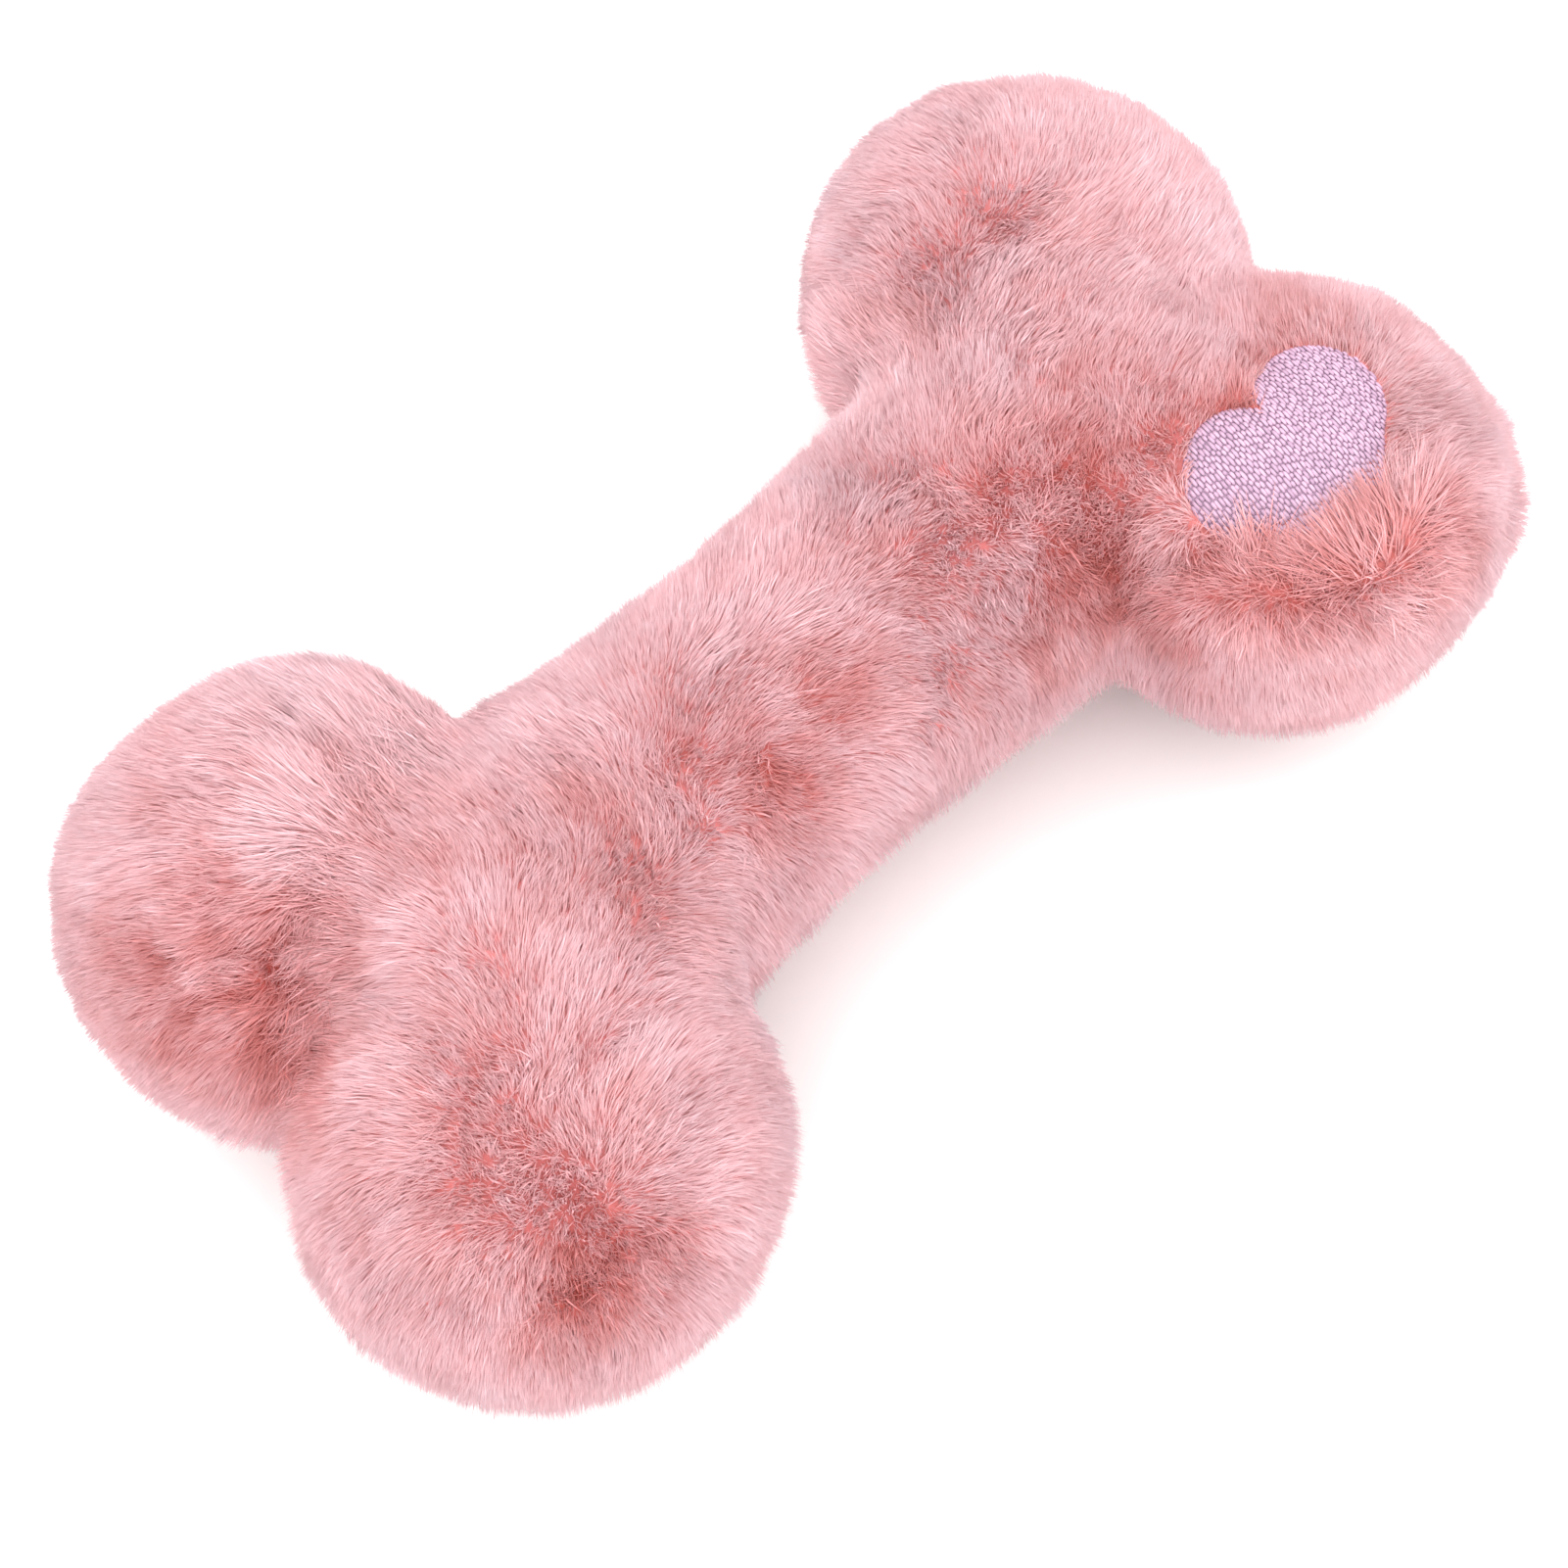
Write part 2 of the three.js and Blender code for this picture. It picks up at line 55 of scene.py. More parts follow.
# The stuffed bone out to the tips of its pile, which stand 1 mm out of the CAD's solids.
bone = {
    "knobX": 61.0,
    "knobY": 21.3,
    "knobRadius": 29.3,
    "knobHalfHeight": 27.6,
    "middleZ": 26.1,
    "overTop": 62.0,
    "waistHalfWidth": 22.1,
    "waistHalfHeight": 21.2,
    "flare": 0.37,
    "shaftEnd": 64.0,
    "endPower": 8,
    "endMost": 0.995,  # how far along its end the shaft's closing is followed
    "endOverlap": 1.0,
    "foldHeights": (27.0, 47.0),
    "lump": 0.7,
    "lumpSize": 21.0,
}
limbNames = ["left_front", "left_back", "right_back", "right_front", "shaft"]
limbSides = np.array([[-1, -1], [-1, 1], [1, 1], [1, -1]], float)
# How softly each knob runs into the rest, at the seam and on top, in the order in which
# they are joined on: limb number, then the two widths of the fold.
folds = [(0, 2.0, 24.0), (3, 4.0, 18.0), (2, 3.0, 12.0), (1, 3.0, 7.0)]


def unit(v):
    # each row divided by its length
    return v / np.maximum(np.linalg.norm(v, axis=-1, keepdims=True), 1e-12)


def turns(count):
    # that many even angles round a circle
    return np.linspace(0, 2 * math.pi, count, endpoint=False)


def places(x, y, z):
    # three grids, rows or numbers as one grid of points, spread to the same size
    return np.stack(np.broadcast_arrays(x, y, z), -1)


def hashed(cell, seed):
    # a repeatable number from 0 to 1 for each cell of whole numbers
    h = cell[..., 0] * 73856093 ^ cell[..., 1] * 19349663 ^ cell[..., 2] * 83492791
    h = (h ^ seed * 40503) & 0x7FFFFFFF
    h = ((h ^ (h >> 13)) * 1274126177) & 0x7FFFFFFF
    return ((h ^ (h >> 16)) & 0xFFFF) / 65535.0


def softNoise(points, size, seed):
    # from -1 to 1: the numbers at the eight corners of a cell, blended by smooth steps
    q = points / size
    base = np.floor(q).astype(np.int64)
    f = q - base
    f = f * f * (3 - 2 * f)
    total = 0
    for corner in np.ndindex(2, 2, 2):
        share = np.prod(np.where(np.array(corner) == 1, f, 1 - f), axis=-1)
        total = total + share * hashed(base + np.array(corner), seed)
    return total * 2 - 1


def noiseSlope(points, size, seed):
    # how softNoise rises over one cell, from differences over a fifth of it
    return outwards(points, lambda q: softNoise(q, size, seed), size / 5) * size


def noiseVector(points, size, seed):
    return np.stack([softNoise(points, size, seed + k) for k in range(3)], -1)


def smoothLess(a, b, fold):
    # the lesser of a and b, rounded where they are closer than fold
    near = np.maximum(fold - np.abs(a - b), 0) / fold
    return np.minimum(a, b) - near * near * fold / 4


def knobSemi(inset=0):
    # half a knob's length, width and height
    return np.array([bone["knobRadius"], bone["knobRadius"], bone["knobHalfHeight"]]) - inset


def knobCentre(side):
    return np.array([side[0] * bone["knobX"], side[1] * bone["knobY"], bone["middleZ"]])


def flared(x):
    # half the shaft's width: waist * (1 + flare * (x / knobX)^2)
    return bone["waistHalfWidth"] * (1 + bone["flare"] * (x / bone["knobX"]) ** 2)


def limbDepths(p):
    # Per limb, how far a point is outside it, below zero inside. A knob is an ellipsoid.
    # The shaft is flared, and closes at its end by sqrt(1 - (x / end)^8).
    depths = []
    for side in limbSides:
        away = p - knobCentre(side)
        ratio = np.maximum(np.linalg.norm(away / knobSemi(), axis=1), 1e-6)
        depths.append(np.linalg.norm(away, axis=1) * (1 - 1 / ratio))
    x, up = p[:, 0], p[:, 2] - bone["middleZ"]
    along = np.clip(np.abs(x) / bone["shaftEnd"], 0, bone["endMost"])
    half = flared(x) * np.sqrt(1 - along ** bone["endPower"])
    high = half * bone["waistHalfHeight"] / bone["waistHalfWidth"]
    ratio = np.maximum(np.hypot(p[:, 1] / half, up / high), 1e-6)
    shaft = np.hypot(p[:, 1], up) * (1 - 1 / ratio)
    beyond = np.maximum(np.abs(x) - bone["knobX"] + bone["endOverlap"], 0)
    shaft = np.where(beyond > 0, np.hypot(np.maximum(shaft, 0), beyond), shaft)
    return np.stack(depths + [shaft], 1)


# Creases where one limb swells over another: points along each, its depth and half its width.
creases = [
    ([(-37, 17, 45), (-46, 14, 50), (-55, 10, 52), (-68, 3, 47), (-80, -4, 40), (-86, -8, 30)], 3.6, 4.2),
    ([(31, 24, 34), (35, 24, 41), (39, 24, 46), (45, 22, 50), (50, 20, 52)], 1.8, 4.0),
    ([(30, -24, 27), (32, -25, 37), (34, -23, 43), (35, -19, 47)], 2.0, 4.0),
]

# Swells: the roll of fur that lies over the heart's tip, and the lower panel's at that end.
rollOverTip = [([(37, -30, 38), (41, -36, 40), (48, -41, 41), (58, -43, 43), (66, -42, 43)], -2.6, 6.5)]
swells = [([(83, -40, 21), (88, -31, 22), (91, -22, 22)], -5.4, 7.0)]


def lineDepth(p, lines):
    # depth * exp(-(distance / half width)^2) for each line, with the distance to that line
    total = np.zeros(len(p))
    for line, deep, wide in lines:
        start = np.array(line[:-1], float)
        run = np.array(line[1:], float) - start
        away = p[:, None, :] - start
        along = np.clip((away * run).sum(2) / (run * run).sum(1), 0, 1)
        near = np.linalg.norm(away - run * along[:, :, None], axis=2).min(1)
        total = total + deep * np.exp(-((near / wide) ** 2))
    return total


def boneDepth(p, lines=creases + swells + rollOverTip):
    d = limbDepths(p)
    low, high = bone["foldHeights"]
    top = np.clip((p[:, 2] - low) / (high - low), 0, 1)
    whole = d[:, 4]
    for limb, atSeam, onTop in folds:
        whole = smoothLess(whole, d[:, limb], atSeam * (1 - top) + onTop * top)
    return whole + bone["lump"] * softNoise(p, bone["lumpSize"], 3) + lineDepth(p, lines)


def underRoll(p):
    # the form without the roll over the heart, for what lies under it
    return boneDepth(p, creases + swells)


def outwards(p, form=boneDepth, step=0.4):
    # the way in which the form's depth grows, from differences along each axis
    rises = [form(p + axis * step) - form(p - axis * step) for axis in np.eye(p.shape[1])]
    return np.stack(rises, 1) / (2 * step)


def pulledTo(points, depth, share, flat=False):
    # points moved a share of their way along the form's slope, to that depth below the tips
    slope = outwards(points)
    if flat:
        slope[:, 2] = 0
    miss = boneDepth(points) + depth
    return points - slope * (miss / np.maximum((slope**2).sum(1), 0.3))[:, None] * share


def newPiece(name, points, faces, uv=None, normals=None, material=None):
    # points in millimetres, faces as rows of three or four corners
    mesh = bpy.data.meshes.new(name)
    mesh.vertices.add(len(points))
    mesh.vertices.foreach_set("co", (points * metre).astype(np.float32).ravel())
    mesh.loops.add(faces.size)
    mesh.loops.foreach_set("vertex_index", faces.astype(np.int32).ravel())
    mesh.polygons.add(len(faces))
    mesh.polygons.foreach_set("loop_start", np.arange(0, faces.size, faces.shape[1], dtype=np.int32))
    mesh.polygons.foreach_set("use_smooth", np.ones(len(faces), bool))
    mesh.update(calc_edges=True)
    if uv is not None:
        layer = mesh.uv_layers.new(name="OFBake")
        layer.uv.foreach_set("vector", uv[faces.ravel()].astype(np.float32).ravel())
    mesh.validate()
    if normals is not None:
        mesh.normals_split_custom_set_from_vertices(normals.astype(np.float32))
    if material:
        mesh.materials.append(material)
    piece = bpy.data.objects.new(name, mesh)
    bpy.context.collection.objects.link(piece)
    return piece


def facedOut(points, faces):
    # the same faces, turned over if the volume that they hold comes out below zero
    a, b, c = points[faces[:, 0]], points[faces[:, 1]], points[faces[:, 2]]
    return faces if (a * np.cross(b, c)).sum() > 0 else faces[:, ::-1]


def closedGrid(rows, first, last):
    # rows is a grid of points [row, column], closed round each row, with a point at each end
    count, around = rows.shape[:2]
    points = np.concatenate([[first], rows.reshape(-1, 3), [last]])
    i, j = np.meshgrid(np.arange(count - 1), np.arange(around), indexing="ij")
    a = 1 + i * around + j
    b = 1 + i * around + (j + 1) % around
    sides = np.stack([a, b, b + around, a + around], -1).reshape(-1, 4)
    j = np.arange(around)
    k = (j + 1) % around
    low = np.stack([np.zeros_like(j), 1 + k, 1 + j], -1)
    top = 1 + (count - 1) * around
    high = np.stack([np.full_like(j, len(points) - 1), top + j, top + k], -1)
    faces = np.concatenate([sides[:, [0, 1, 2]], sides[:, [0, 2, 3]], low, high])
    return points, facedOut(points, faces)


def joined(parts):
    # several forms as one, each with its points, its faces and perhaps its uv and normals
    starts = np.cumsum([0] + [len(part[0]) for part in parts])
    parts = [(part[0], part[1] + start, *part[2:]) for part, start in zip(parts, starts)]
    return [np.concatenate(column) for column in zip(*parts)]


def readMesh(mesh):
    # a mesh's points in metres, and its triangles
    mesh.calc_loop_triangles()
    points = np.empty(len(mesh.vertices) * 3, np.float32)
    mesh.vertices.foreach_get("co", points)
    corners = np.empty(len(mesh.loop_triangles) * 3, np.int32)
    mesh.loop_triangles.foreach_get("vertices", corners)
    return points.reshape(-1, 3), corners.reshape(-1, 3)


def remeshed(points, faces, voxel):
    # Blender's voxel remesh of closed forms that overlap, read back as triangles
    piece = newPiece("remeshing", points, faces)
    mesh = piece.data
    modifier = piece.modifiers.new("voxels", "REMESH")
    modifier.mode = "VOXEL"
    modifier.voxel_size = voxel * metre
    found, corners = readMesh(piece.evaluated_get(bpy.context.evaluated_depsgraph_get()).to_mesh())
    bpy.data.objects.remove(piece)
    bpy.data.meshes.remove(mesh)
    return found / metre, corners


print("skin")
skinSizes = {"voxel": 2.2, "thickness": 2.5, "ringCount": 28, "columnCount": 40, "pulls": 6}


def limbForm(limb, inset):
    # a ball's or tube's rows of points, (row angle, column angle), pushed in by inset
    columns = turns(skinSizes["columnCount"])
    if limb < 4:
        lift = np.linspace(0, math.pi, skinSizes["ringCount"] + 2)[1:-1, None]
        ball = places(np.sin(lift) * np.cos(columns), np.sin(lift) * np.sin(columns), -np.cos(lift))
        semi, centre = knobSemi(inset), knobCentre(limbSides[limb])
        up = np.array([0, 0, semi[2]])
        return closedGrid(ball * semi + centre, centre - up, centre + up)
    x = np.linspace(-bone["knobX"], bone["knobX"], skinSizes["ringCount"])[:, None]
    half = flared(x) - inset
    high = half * bone["waistHalfHeight"] / bone["waistHalfWidth"]
    tube = places(x, half * np.cos(columns), bone["middleZ"] + high * np.sin(columns))
    end, middle = np.array([bone["knobX"], 0, 0]), np.array([0, 0, bone["middleZ"]])
    return closedGrid(tube, middle - end, middle + end)


def stuffedSkin(depth):
    # the cloth that the pile stands on: the five limbs as one form, then every point
    # moved along the slope until it lies at that depth below the tips
    limbs = joined([limbForm(limb, depth) for limb in range(5)])
    points, faces = remeshed(*limbs, skinSizes["voxel"])
    for _ in range(skinSizes["pulls"]):
        points = pulledTo(points, depth, 0.8)
    return points, faces


pile = {
    "rise": 2.5,  # from the underfur up to the tips
    "riseSpread": 0.3,
    "mostLength": 8.0,
    "lean": 1.4,
    "sink": 0.5,
    "strandWidth": 0.27,
    "spikeWidth": 0.22,
    "lockHeight": 0.35,
    "tuftHeight": 0.65,
    "tuftWidth": 5.5,
    "clumpSize": 1.3,
    "clumpPull": 0.15,
    "tuftSize": 5.0,
    "tuftPull": 0.4,
    "lockSize": 2.2,
    "strayness": 0.1,
    "leastRise": 0.34,
    "floor": 0.15,
    "thinnest": 0.8,  # the least width, as a share, and how much more it may be
    "widthSpread": 0.4,
    "leastBend": 0.05,
    "bendSpread": 0.05,
}
whorlSizes = {
    "leanLess": 0.8,  # the strokes count that much less in a whorl, and the strays more
    "strayMore": 1.5,
    "whole": 0.88,
    "patchSize": 4.5,
    "patch": 0.3,
    "fleckSize": 1.7,
    "fleck": 0.5,
}
shading = {
    "softness": 0.75,  # how far the shading follows the cloth and not each strand
    "underSideShade": 0.2,  # painted shade: how much deeper the colour is on the side of each strand towards the cloth
    "whorlTipShade": 0.55,  # painted shade: how much deeper the tips are made in the whorl and shade spots
    "rootShade": 0.62,  # how far up the colours a strand starts, but for the whorl and shade spots
    "whorlRootShade": 0.75,  # how much lower it starts in them, as painted shade
    "tone": 0.68,  # from 0, a deep strand, to 1, a pale one, and what changes it
    "slowSize": 12.0,
    "slow": 0.07,
    "patchSize": 3.0,
    "patch": 0.16,
    # painted shade in the tone: tuft, paler where tufts stand higher and deeper where they sink; whorl,
    # deeper in the whorl and shade spots
    "tuft": 0.24,
    "whorl": 0.42,
    "strand": 0.05,
    "across": 0.03,  # from one side of a strand to the other
    "clothShadeTone": 0.03,  # the cloth between the strands, low on the ramp as painted shade in the gaps, and how much paler outside the whorl and shade spots
    "clothSpread": 0.12,
    "clothPalerOutsideShade": (0.4, 0.45),
}
# A strand's broad and thin half widths and its middle ring's place, width and colour, as shares.
needleShares = {"broad": 1.3, "thin": 0.7, "middle": 0.55, "middleWidth": 0.36, "middleColour": 0.58}
# Where the pile was stroked by hand: a point, and the way it leans there.
strokes = [
    [-88, 28, 31, -0.75, -0.15, 0.06], [-87, -17, 37, -0.75, -0.75, -0.16],
    [-84, -37, 32, -0.3, -0.74, 0.18], [-84, 5, 33, -0.75, 0.17, -0.09],
    [-83, 20, 43, -0.75, 0.09, 0.19], [-74, 36, 45, -0.75, 0.36, 0.1],
    [-72, -35, 47, -0.42, 0.43, 0.03], [-72, 14, 50, -0.48, 0.75, -0.14],
    [-71, -14, 50, -0.65, 0.02, -0.25], [-71, 0, 45, -0.75, 0.63, -0.25],
    [-65, -50, 28, -0.75, -0.75, 0.15], [-65, 27, 52, -0.75, 0.27, 0.25],
    [-60, -45, 42, 0.5, -0.05, -0.3], [-58, -24, 54, 0.75, 0.33, 0.18],
    [-53, -6, 55, 0.42, 0.12, 0.02], [-52, 35, 48, -0.75, 0.75, 0.06],
    [-51, 14, 51, -0.4, 0.37, -0.08], [-47, -36, 47, 0.51, 0.3, 0.07],
    [-46, -46, 31, 0.31, -0.75, -0.17], [-38, 2, 51, -0.2, 0.2, 0.09],
    [-36, -35, 33, 0.19, -0.75, -0.11], [-36, -23, 47, 0.12, -0.45, -0.23],
    [-28, 15, 43, -0.75, 0.75, 0.03], [-25, -8, 48, -0.36, 0.61, -0.11],
    [-25, -23, 29, -0.75, -0.75, -0.25], [-14, 4, 47, 0.41, -0.16, 0.25],
    [-8, -18, 38, 0.66, -0.49, 0.05], [0, -1, 47, 0.75, -0.71, 0.25],
    [2, 14, 41, 0.75, 0.67, 0.16], [5, -22, 23, -0.68, -0.75, -0.21],
    [9, -17, 39, 0.06, 0.1, 0.1], [21, 7, 47, -0.21, -0.42, 0.15],
    [21, -22, 29, -0.56, -0.75, -0.25], [25, -13, 44, -0.75, -0.18, -0.25],
    [32, -1, 49, 0.75, 0.39, 0.25], [33, 24, 37, 0.75, 0.75, -0.04],
    [33, -32, 26, -0.42, -0.67, -0.25], [39, -24, 47, -0.04, 0.56, 0.13],
    [45, -44, 34, 0.28, -0.75, 0.12], [45, 42, 39, -0.47, 0.14, -0.03],
    [45, 19, 50, 0.31, -0.59, 0.21], [49, -1, 53, 0.18, -0.4, 0.25],
    [53, -35, 49, 0.44, 0.75, 0.06], [61, 40, 47, -0.64, 0.75, 0.04],
    [63, -50, 30, -0.75, -0.75, -0.19], [66, 18, 53, 0.59, -0.27, 0.02],
    [66, 1, 48, 0.31, 0.16, 0.11], [69, -32, 50, -0.11, -0.42, 0.03],
    [70, -15, 51, 0.16, 0.75, 0.05], [79, 22, 47, 0.38, 0.75, 0.0],
    [82, -35, 39, 0.17, -0.25, -0.03], [83, 6, 37, 0.25, 0.5, 0.0],
    [-63, -38, 49, 0.47, 0.44, 0.29], [-68, -32, 51, 0.2, 0.52, 0.22],
    [-55, -40, 47, 0.51, 0.29, 0.11], [-67, -45, 42, 0.1, 0.25, 0.1],
    [-76, -40, 42, -0.51, -0.04, -0.55], [-80, -34, 43, -0.51, 0.04, -0.55],
    [-71, -48, 36, -0.2, -0.21, -0.69], [51, -45, 39, 0.12, -0.38, -0.63],
    [43, -41, 38, -0.11, -0.3, -0.68], [58, -47, 39, 0.34, -0.3, -0.6],
    [38, -34, 38, -0.2, -0.14, -0.55],
]
strokes = np.array(strokes, float)
strokeReach = 9.5
strokeCalm = 0.15  # the pile's own weight against the strokes, where none is near
# Whorls, where the pile stands up and one looks down between it to its roots, and spots in the creases and
# along the heart's rim; in all of them the colours of the pile and the cloth are made deeper as painted
# shade: the middle, how far it reaches and how strong it is.
whorlAndShadeSpots = [
    ([-69, -43, 44], 10, 0.85), ([-69, -27, 52], 20, 0.34), ([-68, -35, 50], 13, 0.3),
    ([-77, 3, 42], 12, 1.0), ([-79, 13, 46], 15, 0.75), ([-66, 6, 49], 9, 0.6),
    ([-70, 6, 47], 8, 1.0), ([-79, 0, 41], 9, 1.0), ([-83, -1, 37], 8, 1.0),
    ([-76, 3, 44], 11, 1.0), ([-72, 2, 46], 8, 1.0), ([54, -18, 53], 5, 0.8),
    ([62, -16, 52], 4, 0.5), ([45, -19, 51], 5, 0.6), ([-14, -13, 44], 7, 0.9),
    ([-2, -10, 45], 8, 0.55), ([-19, -2, 48], 6, 0.5), ([-15, -8, 46], 7, 0.6),
    ([14, -3, 47], 7, 0.35), ([29, -3, 49], 9, 0.5), ([36, -9, 50], 10, 0.7),
    ([31, -20, 43], 9, 0.9), ([25, -21, 37], 8, 0.6), ([31, -25, 37], 8, 1.0),
    ([46, -16, 53], 8, 0.45), ([45, -7, 53], 9, 0.45), ([40, -30, 45], 7, 0.6),
    ([46, -36, 46], 8, 0.8), ([53, -40, 46], 8, 0.7), ([62, -45, 43], 9, 0.5),
    ([37, 23, 44], 7, 0.35), ([71, -12, 50], 10, 0.35), ([43, 20, 49], 7, 0.1),
    ([47, 28, 49], 9, 0.05), ([54, 22, 53], 9, 0.15), ([-33, -8, 51], 14, 0.3),
    ([-52, 9, 52], 9, 0.35), ([-67, 28, 52], 12, 0.2),
]


def whorlAndShadeAt(p):
    # the strongest of strength * exp(-(distance / reach)^2), broken up by noise
    best = np.zeros(len(p))
    for middle, reach, strength in whorlAndShadeSpots:
        far = ((p - np.array(middle)) ** 2).sum(1)
        best = np.maximum(best, strength * np.exp(-far / reach**2))
    broken = whorlSizes["whole"] + whorlSizes["patch"] * softNoise(p, whorlSizes["patchSize"], 61)
    broken = broken + whorlSizes["fleck"] * softNoise(p, whorlSizes["fleckSize"], 62)
    return np.clip(best * broken, 0, 1)


def leanAt(p):
    # the strokes blended by how near they are, as bell curves
    far = ((p[:, None, :] - strokes[None, :, :3]) ** 2).sum(2)
    share = np.exp(-far / (2 * strokeReach**2))
    return (share @ strokes[:, 3:]) / (share.sum(1, keepdims=True) + strokeCalm)


def crossed(points, faces):
    # each triangle's normal, as long as twice its area
    a, b, c = points[faces[:, 0]], points[faces[:, 1]], points[faces[:, 2]]
    return np.cross(b - a, c - a)


def scatter(points, faces, normals, count, rng):
    # count places on the triangles, even by area
    total = np.cumsum(np.linalg.norm(crossed(points, faces), axis=1))
    pick = (np.arange(count) + rng.random(count)) / count * total[-1]
    face = np.minimum(np.searchsorted(total, pick), len(faces) - 1)
    a, b = rng.random(count), rng.random(count)
    flip = a + b > 1
    a, b = np.where(flip, 1 - a, a), np.where(flip, 1 - b, b)
    weights = np.stack([1 - a - b, a, b], 1)[:, :, None]
    place = (points[faces[face]] * weights).sum(1)
    return place, unit((normals[faces[face]] * weights).sum(1))


def pileDirection(root, normal, rng):
    # the cloth's own direction, plus the strokes, tufts, clumps and strays
    whorl = whorlAndShadeAt(root)[:, None]
    lean = leanAt(root) * pile["lean"] * (1 - whorlSizes["leanLess"] * whorl)
    tuft = noiseVector(root, pile["tuftSize"], 11) * pile["tuftPull"]
    clump = noiseSlope(root, pile["clumpSize"], 23) * pile["clumpPull"]
    stray = rng.normal(size=root.shape) * pile["strayness"] * (1 + whorlSizes["strayMore"] * whorl)
    way = unit(normal + lean + tuft + clump + stray)
    rise = (way * normal).sum(1, keepdims=True)
    lack = np.maximum(pile["leastRise"] - rise, 0)
    return unit(way + normal * lack)


def tuftRise(root):
    # how much higher the pile stands here, as tufts and as the locks in them
    tuft = softNoise(root, pile["tuftWidth"], 71) * pile["tuftHeight"]
    return tuft + softNoise(root, pile["lockSize"], 72) * pile["lockHeight"]


def toneOf(root, rng):
    # slow noise, patches and a difference from strand to strand, with painted shade: paler where the tufts
    # stand higher, deeper where they sink, and deeper in the whorl and shade spots
    slow = softNoise(root, shading["slowSize"], 41) * shading["slow"]
    slow = slow + softNoise(root, shading["patchSize"], 45) * shading["patch"]
    slow = slow + tuftRise(root) * shading["tuft"] - whorlAndShadeAt(root) * shading["whorl"]
    each = rng.normal(size=len(root)) * shading["strand"]
    return np.clip(shading["tone"] + slow + each, 0.04, 0.96)


def strands(root, normal, way, length, width, bend, tone, rng, curved, shadeDepth=0.0):
    # needles of three sides. A curved one has a ring in its middle, moved towards the
    # cloth's normal by bend, so the tip hangs over. Each is closed at its root.
    count = len(root)
    side = unit(np.cross(way, normal + rng.normal(size=way.shape) * 0.3))
    across = np.cross(way, side)
    turn = rng.random(count) * 2 * math.pi
    angles = turn[:, None] + np.array([0, 2, 4]) * math.pi / 3
    ring = side[:, None, :] * np.cos(angles)[..., None] * needleShares["broad"]
    ring = ring + across[:, None, :] * np.sin(angles)[..., None] * needleShares["thin"]
    foot = root - normal * pile["sink"]
    tip = foot + way * length[:, None]
    rings = [foot[:, None, :] + ring * (width / 2)[:, None, None]]
    heights = [0.0]
    if curved:
        middle = foot + way * (length * needleShares["middle"])[:, None] + normal * (length * bend)[:, None]
        rings.append(middle[:, None, :] + ring * (width * needleShares["middleWidth"])[:, None, None])
        heights.append(needleShares["middleColour"])
    points = np.concatenate(rings + [tip[:, None, :]], 1)
    each = points.shape[1]
    shade = unit(ring * (1 - shading["softness"]) + normal[:, None, :] * shading["softness"])
    normals = np.concatenate([shade] * len(rings) + [unit(way + normal)[:, None, :]], 1)
    uv = np.empty((count, each, 2))
    # the side of each strand towards the cloth gets a deeper colour, as painted shade
    facingOut = (ring * normal[:, None, :]).sum(2)
    for k, height in enumerate(heights):
        uv[:, k * 3 : k * 3 + 3, 0] = tone[:, None] + np.array([-1, 0, 1]) * shading["across"]
        uv[:, k * 3 : k * 3 + 3, 1] = np.clip(height + shading["underSideShade"] * facingOut, 0, 1)
    uv[:, -1, 0] = tone
    uv[:, -1, 1] = 1.0
    # in the whorl and shade spots the colours run deeper from root to tip, as painted shade
    shadeDepth = np.broadcast_to(shadeDepth, count)[:, None]
    lowest = shading["rootShade"] * (1 - shading["whorlRootShade"] * shadeDepth)
    highest = 1 - shading["whorlTipShade"] * shadeDepth
    uv[:, :, 1] = lowest + (highest - lowest) * uv[:, :, 1]
    if curved:
        pattern = [[0, 2, 1]]
        for a, b in ((0, 1), (1, 2), (2, 0)):
            pattern += [[a, b, b + 3], [a, b + 3, a + 3], [a + 3, b + 3, 6]]
    else:
        pattern = [[0, 2, 1], [0, 1, 3], [1, 2, 3], [2, 0, 3]]
    faces = (np.arange(count) * each)[:, None, None] + np.array(pattern)[None]
    return points.reshape(-1, 3), faces.reshape(-1, 3), uv.reshape(-1, 2), normals.reshape(-1, 3)


def backed(points, faces, normals):
    # a patch of cloth with a thickness: its face, the same below, and a wall round it
    used, small = np.unique(faces, return_inverse=True)
    small = small.reshape(-1, 3)
    top, up = points[used], normals[used]
    count = len(used)
    edges = np.concatenate([small[:, [0, 1]], small[:, [1, 2]], small[:, [2, 0]]])
    key = np.sort(edges, axis=1)
    _, where, times = np.unique(key, axis=0, return_index=True, return_counts=True)
    rim = edges[where[times == 1]]
    a, b = rim[:, 0], rim[:, 1]
    wall = np.concatenate([np.stack([b, a, a + count], 1), np.stack([b, a + count, b + count], 1)])
    allFaces = np.concatenate([small, small[:, ::-1] + count, wall])
    both = np.concatenate([top, top - up * skinSizes["thickness"]])
    span = np.ptp(top, axis=0).max()
    # the cloth's colour stays low on the ramp as painted shade in the gaps between strands, lowest in the
    # whorl and shade spots
    uv = shading["clothShadeTone"] + shading["clothSpread"] * (top - top.min(0))[:, :2] / span
    uv = uv + np.array(shading["clothPalerOutsideShade"]) * (1 - whorlAndShadeAt(top))[:, None]
    return both, allFaces, np.concatenate([uv, uv]), np.concatenate([up, -up])


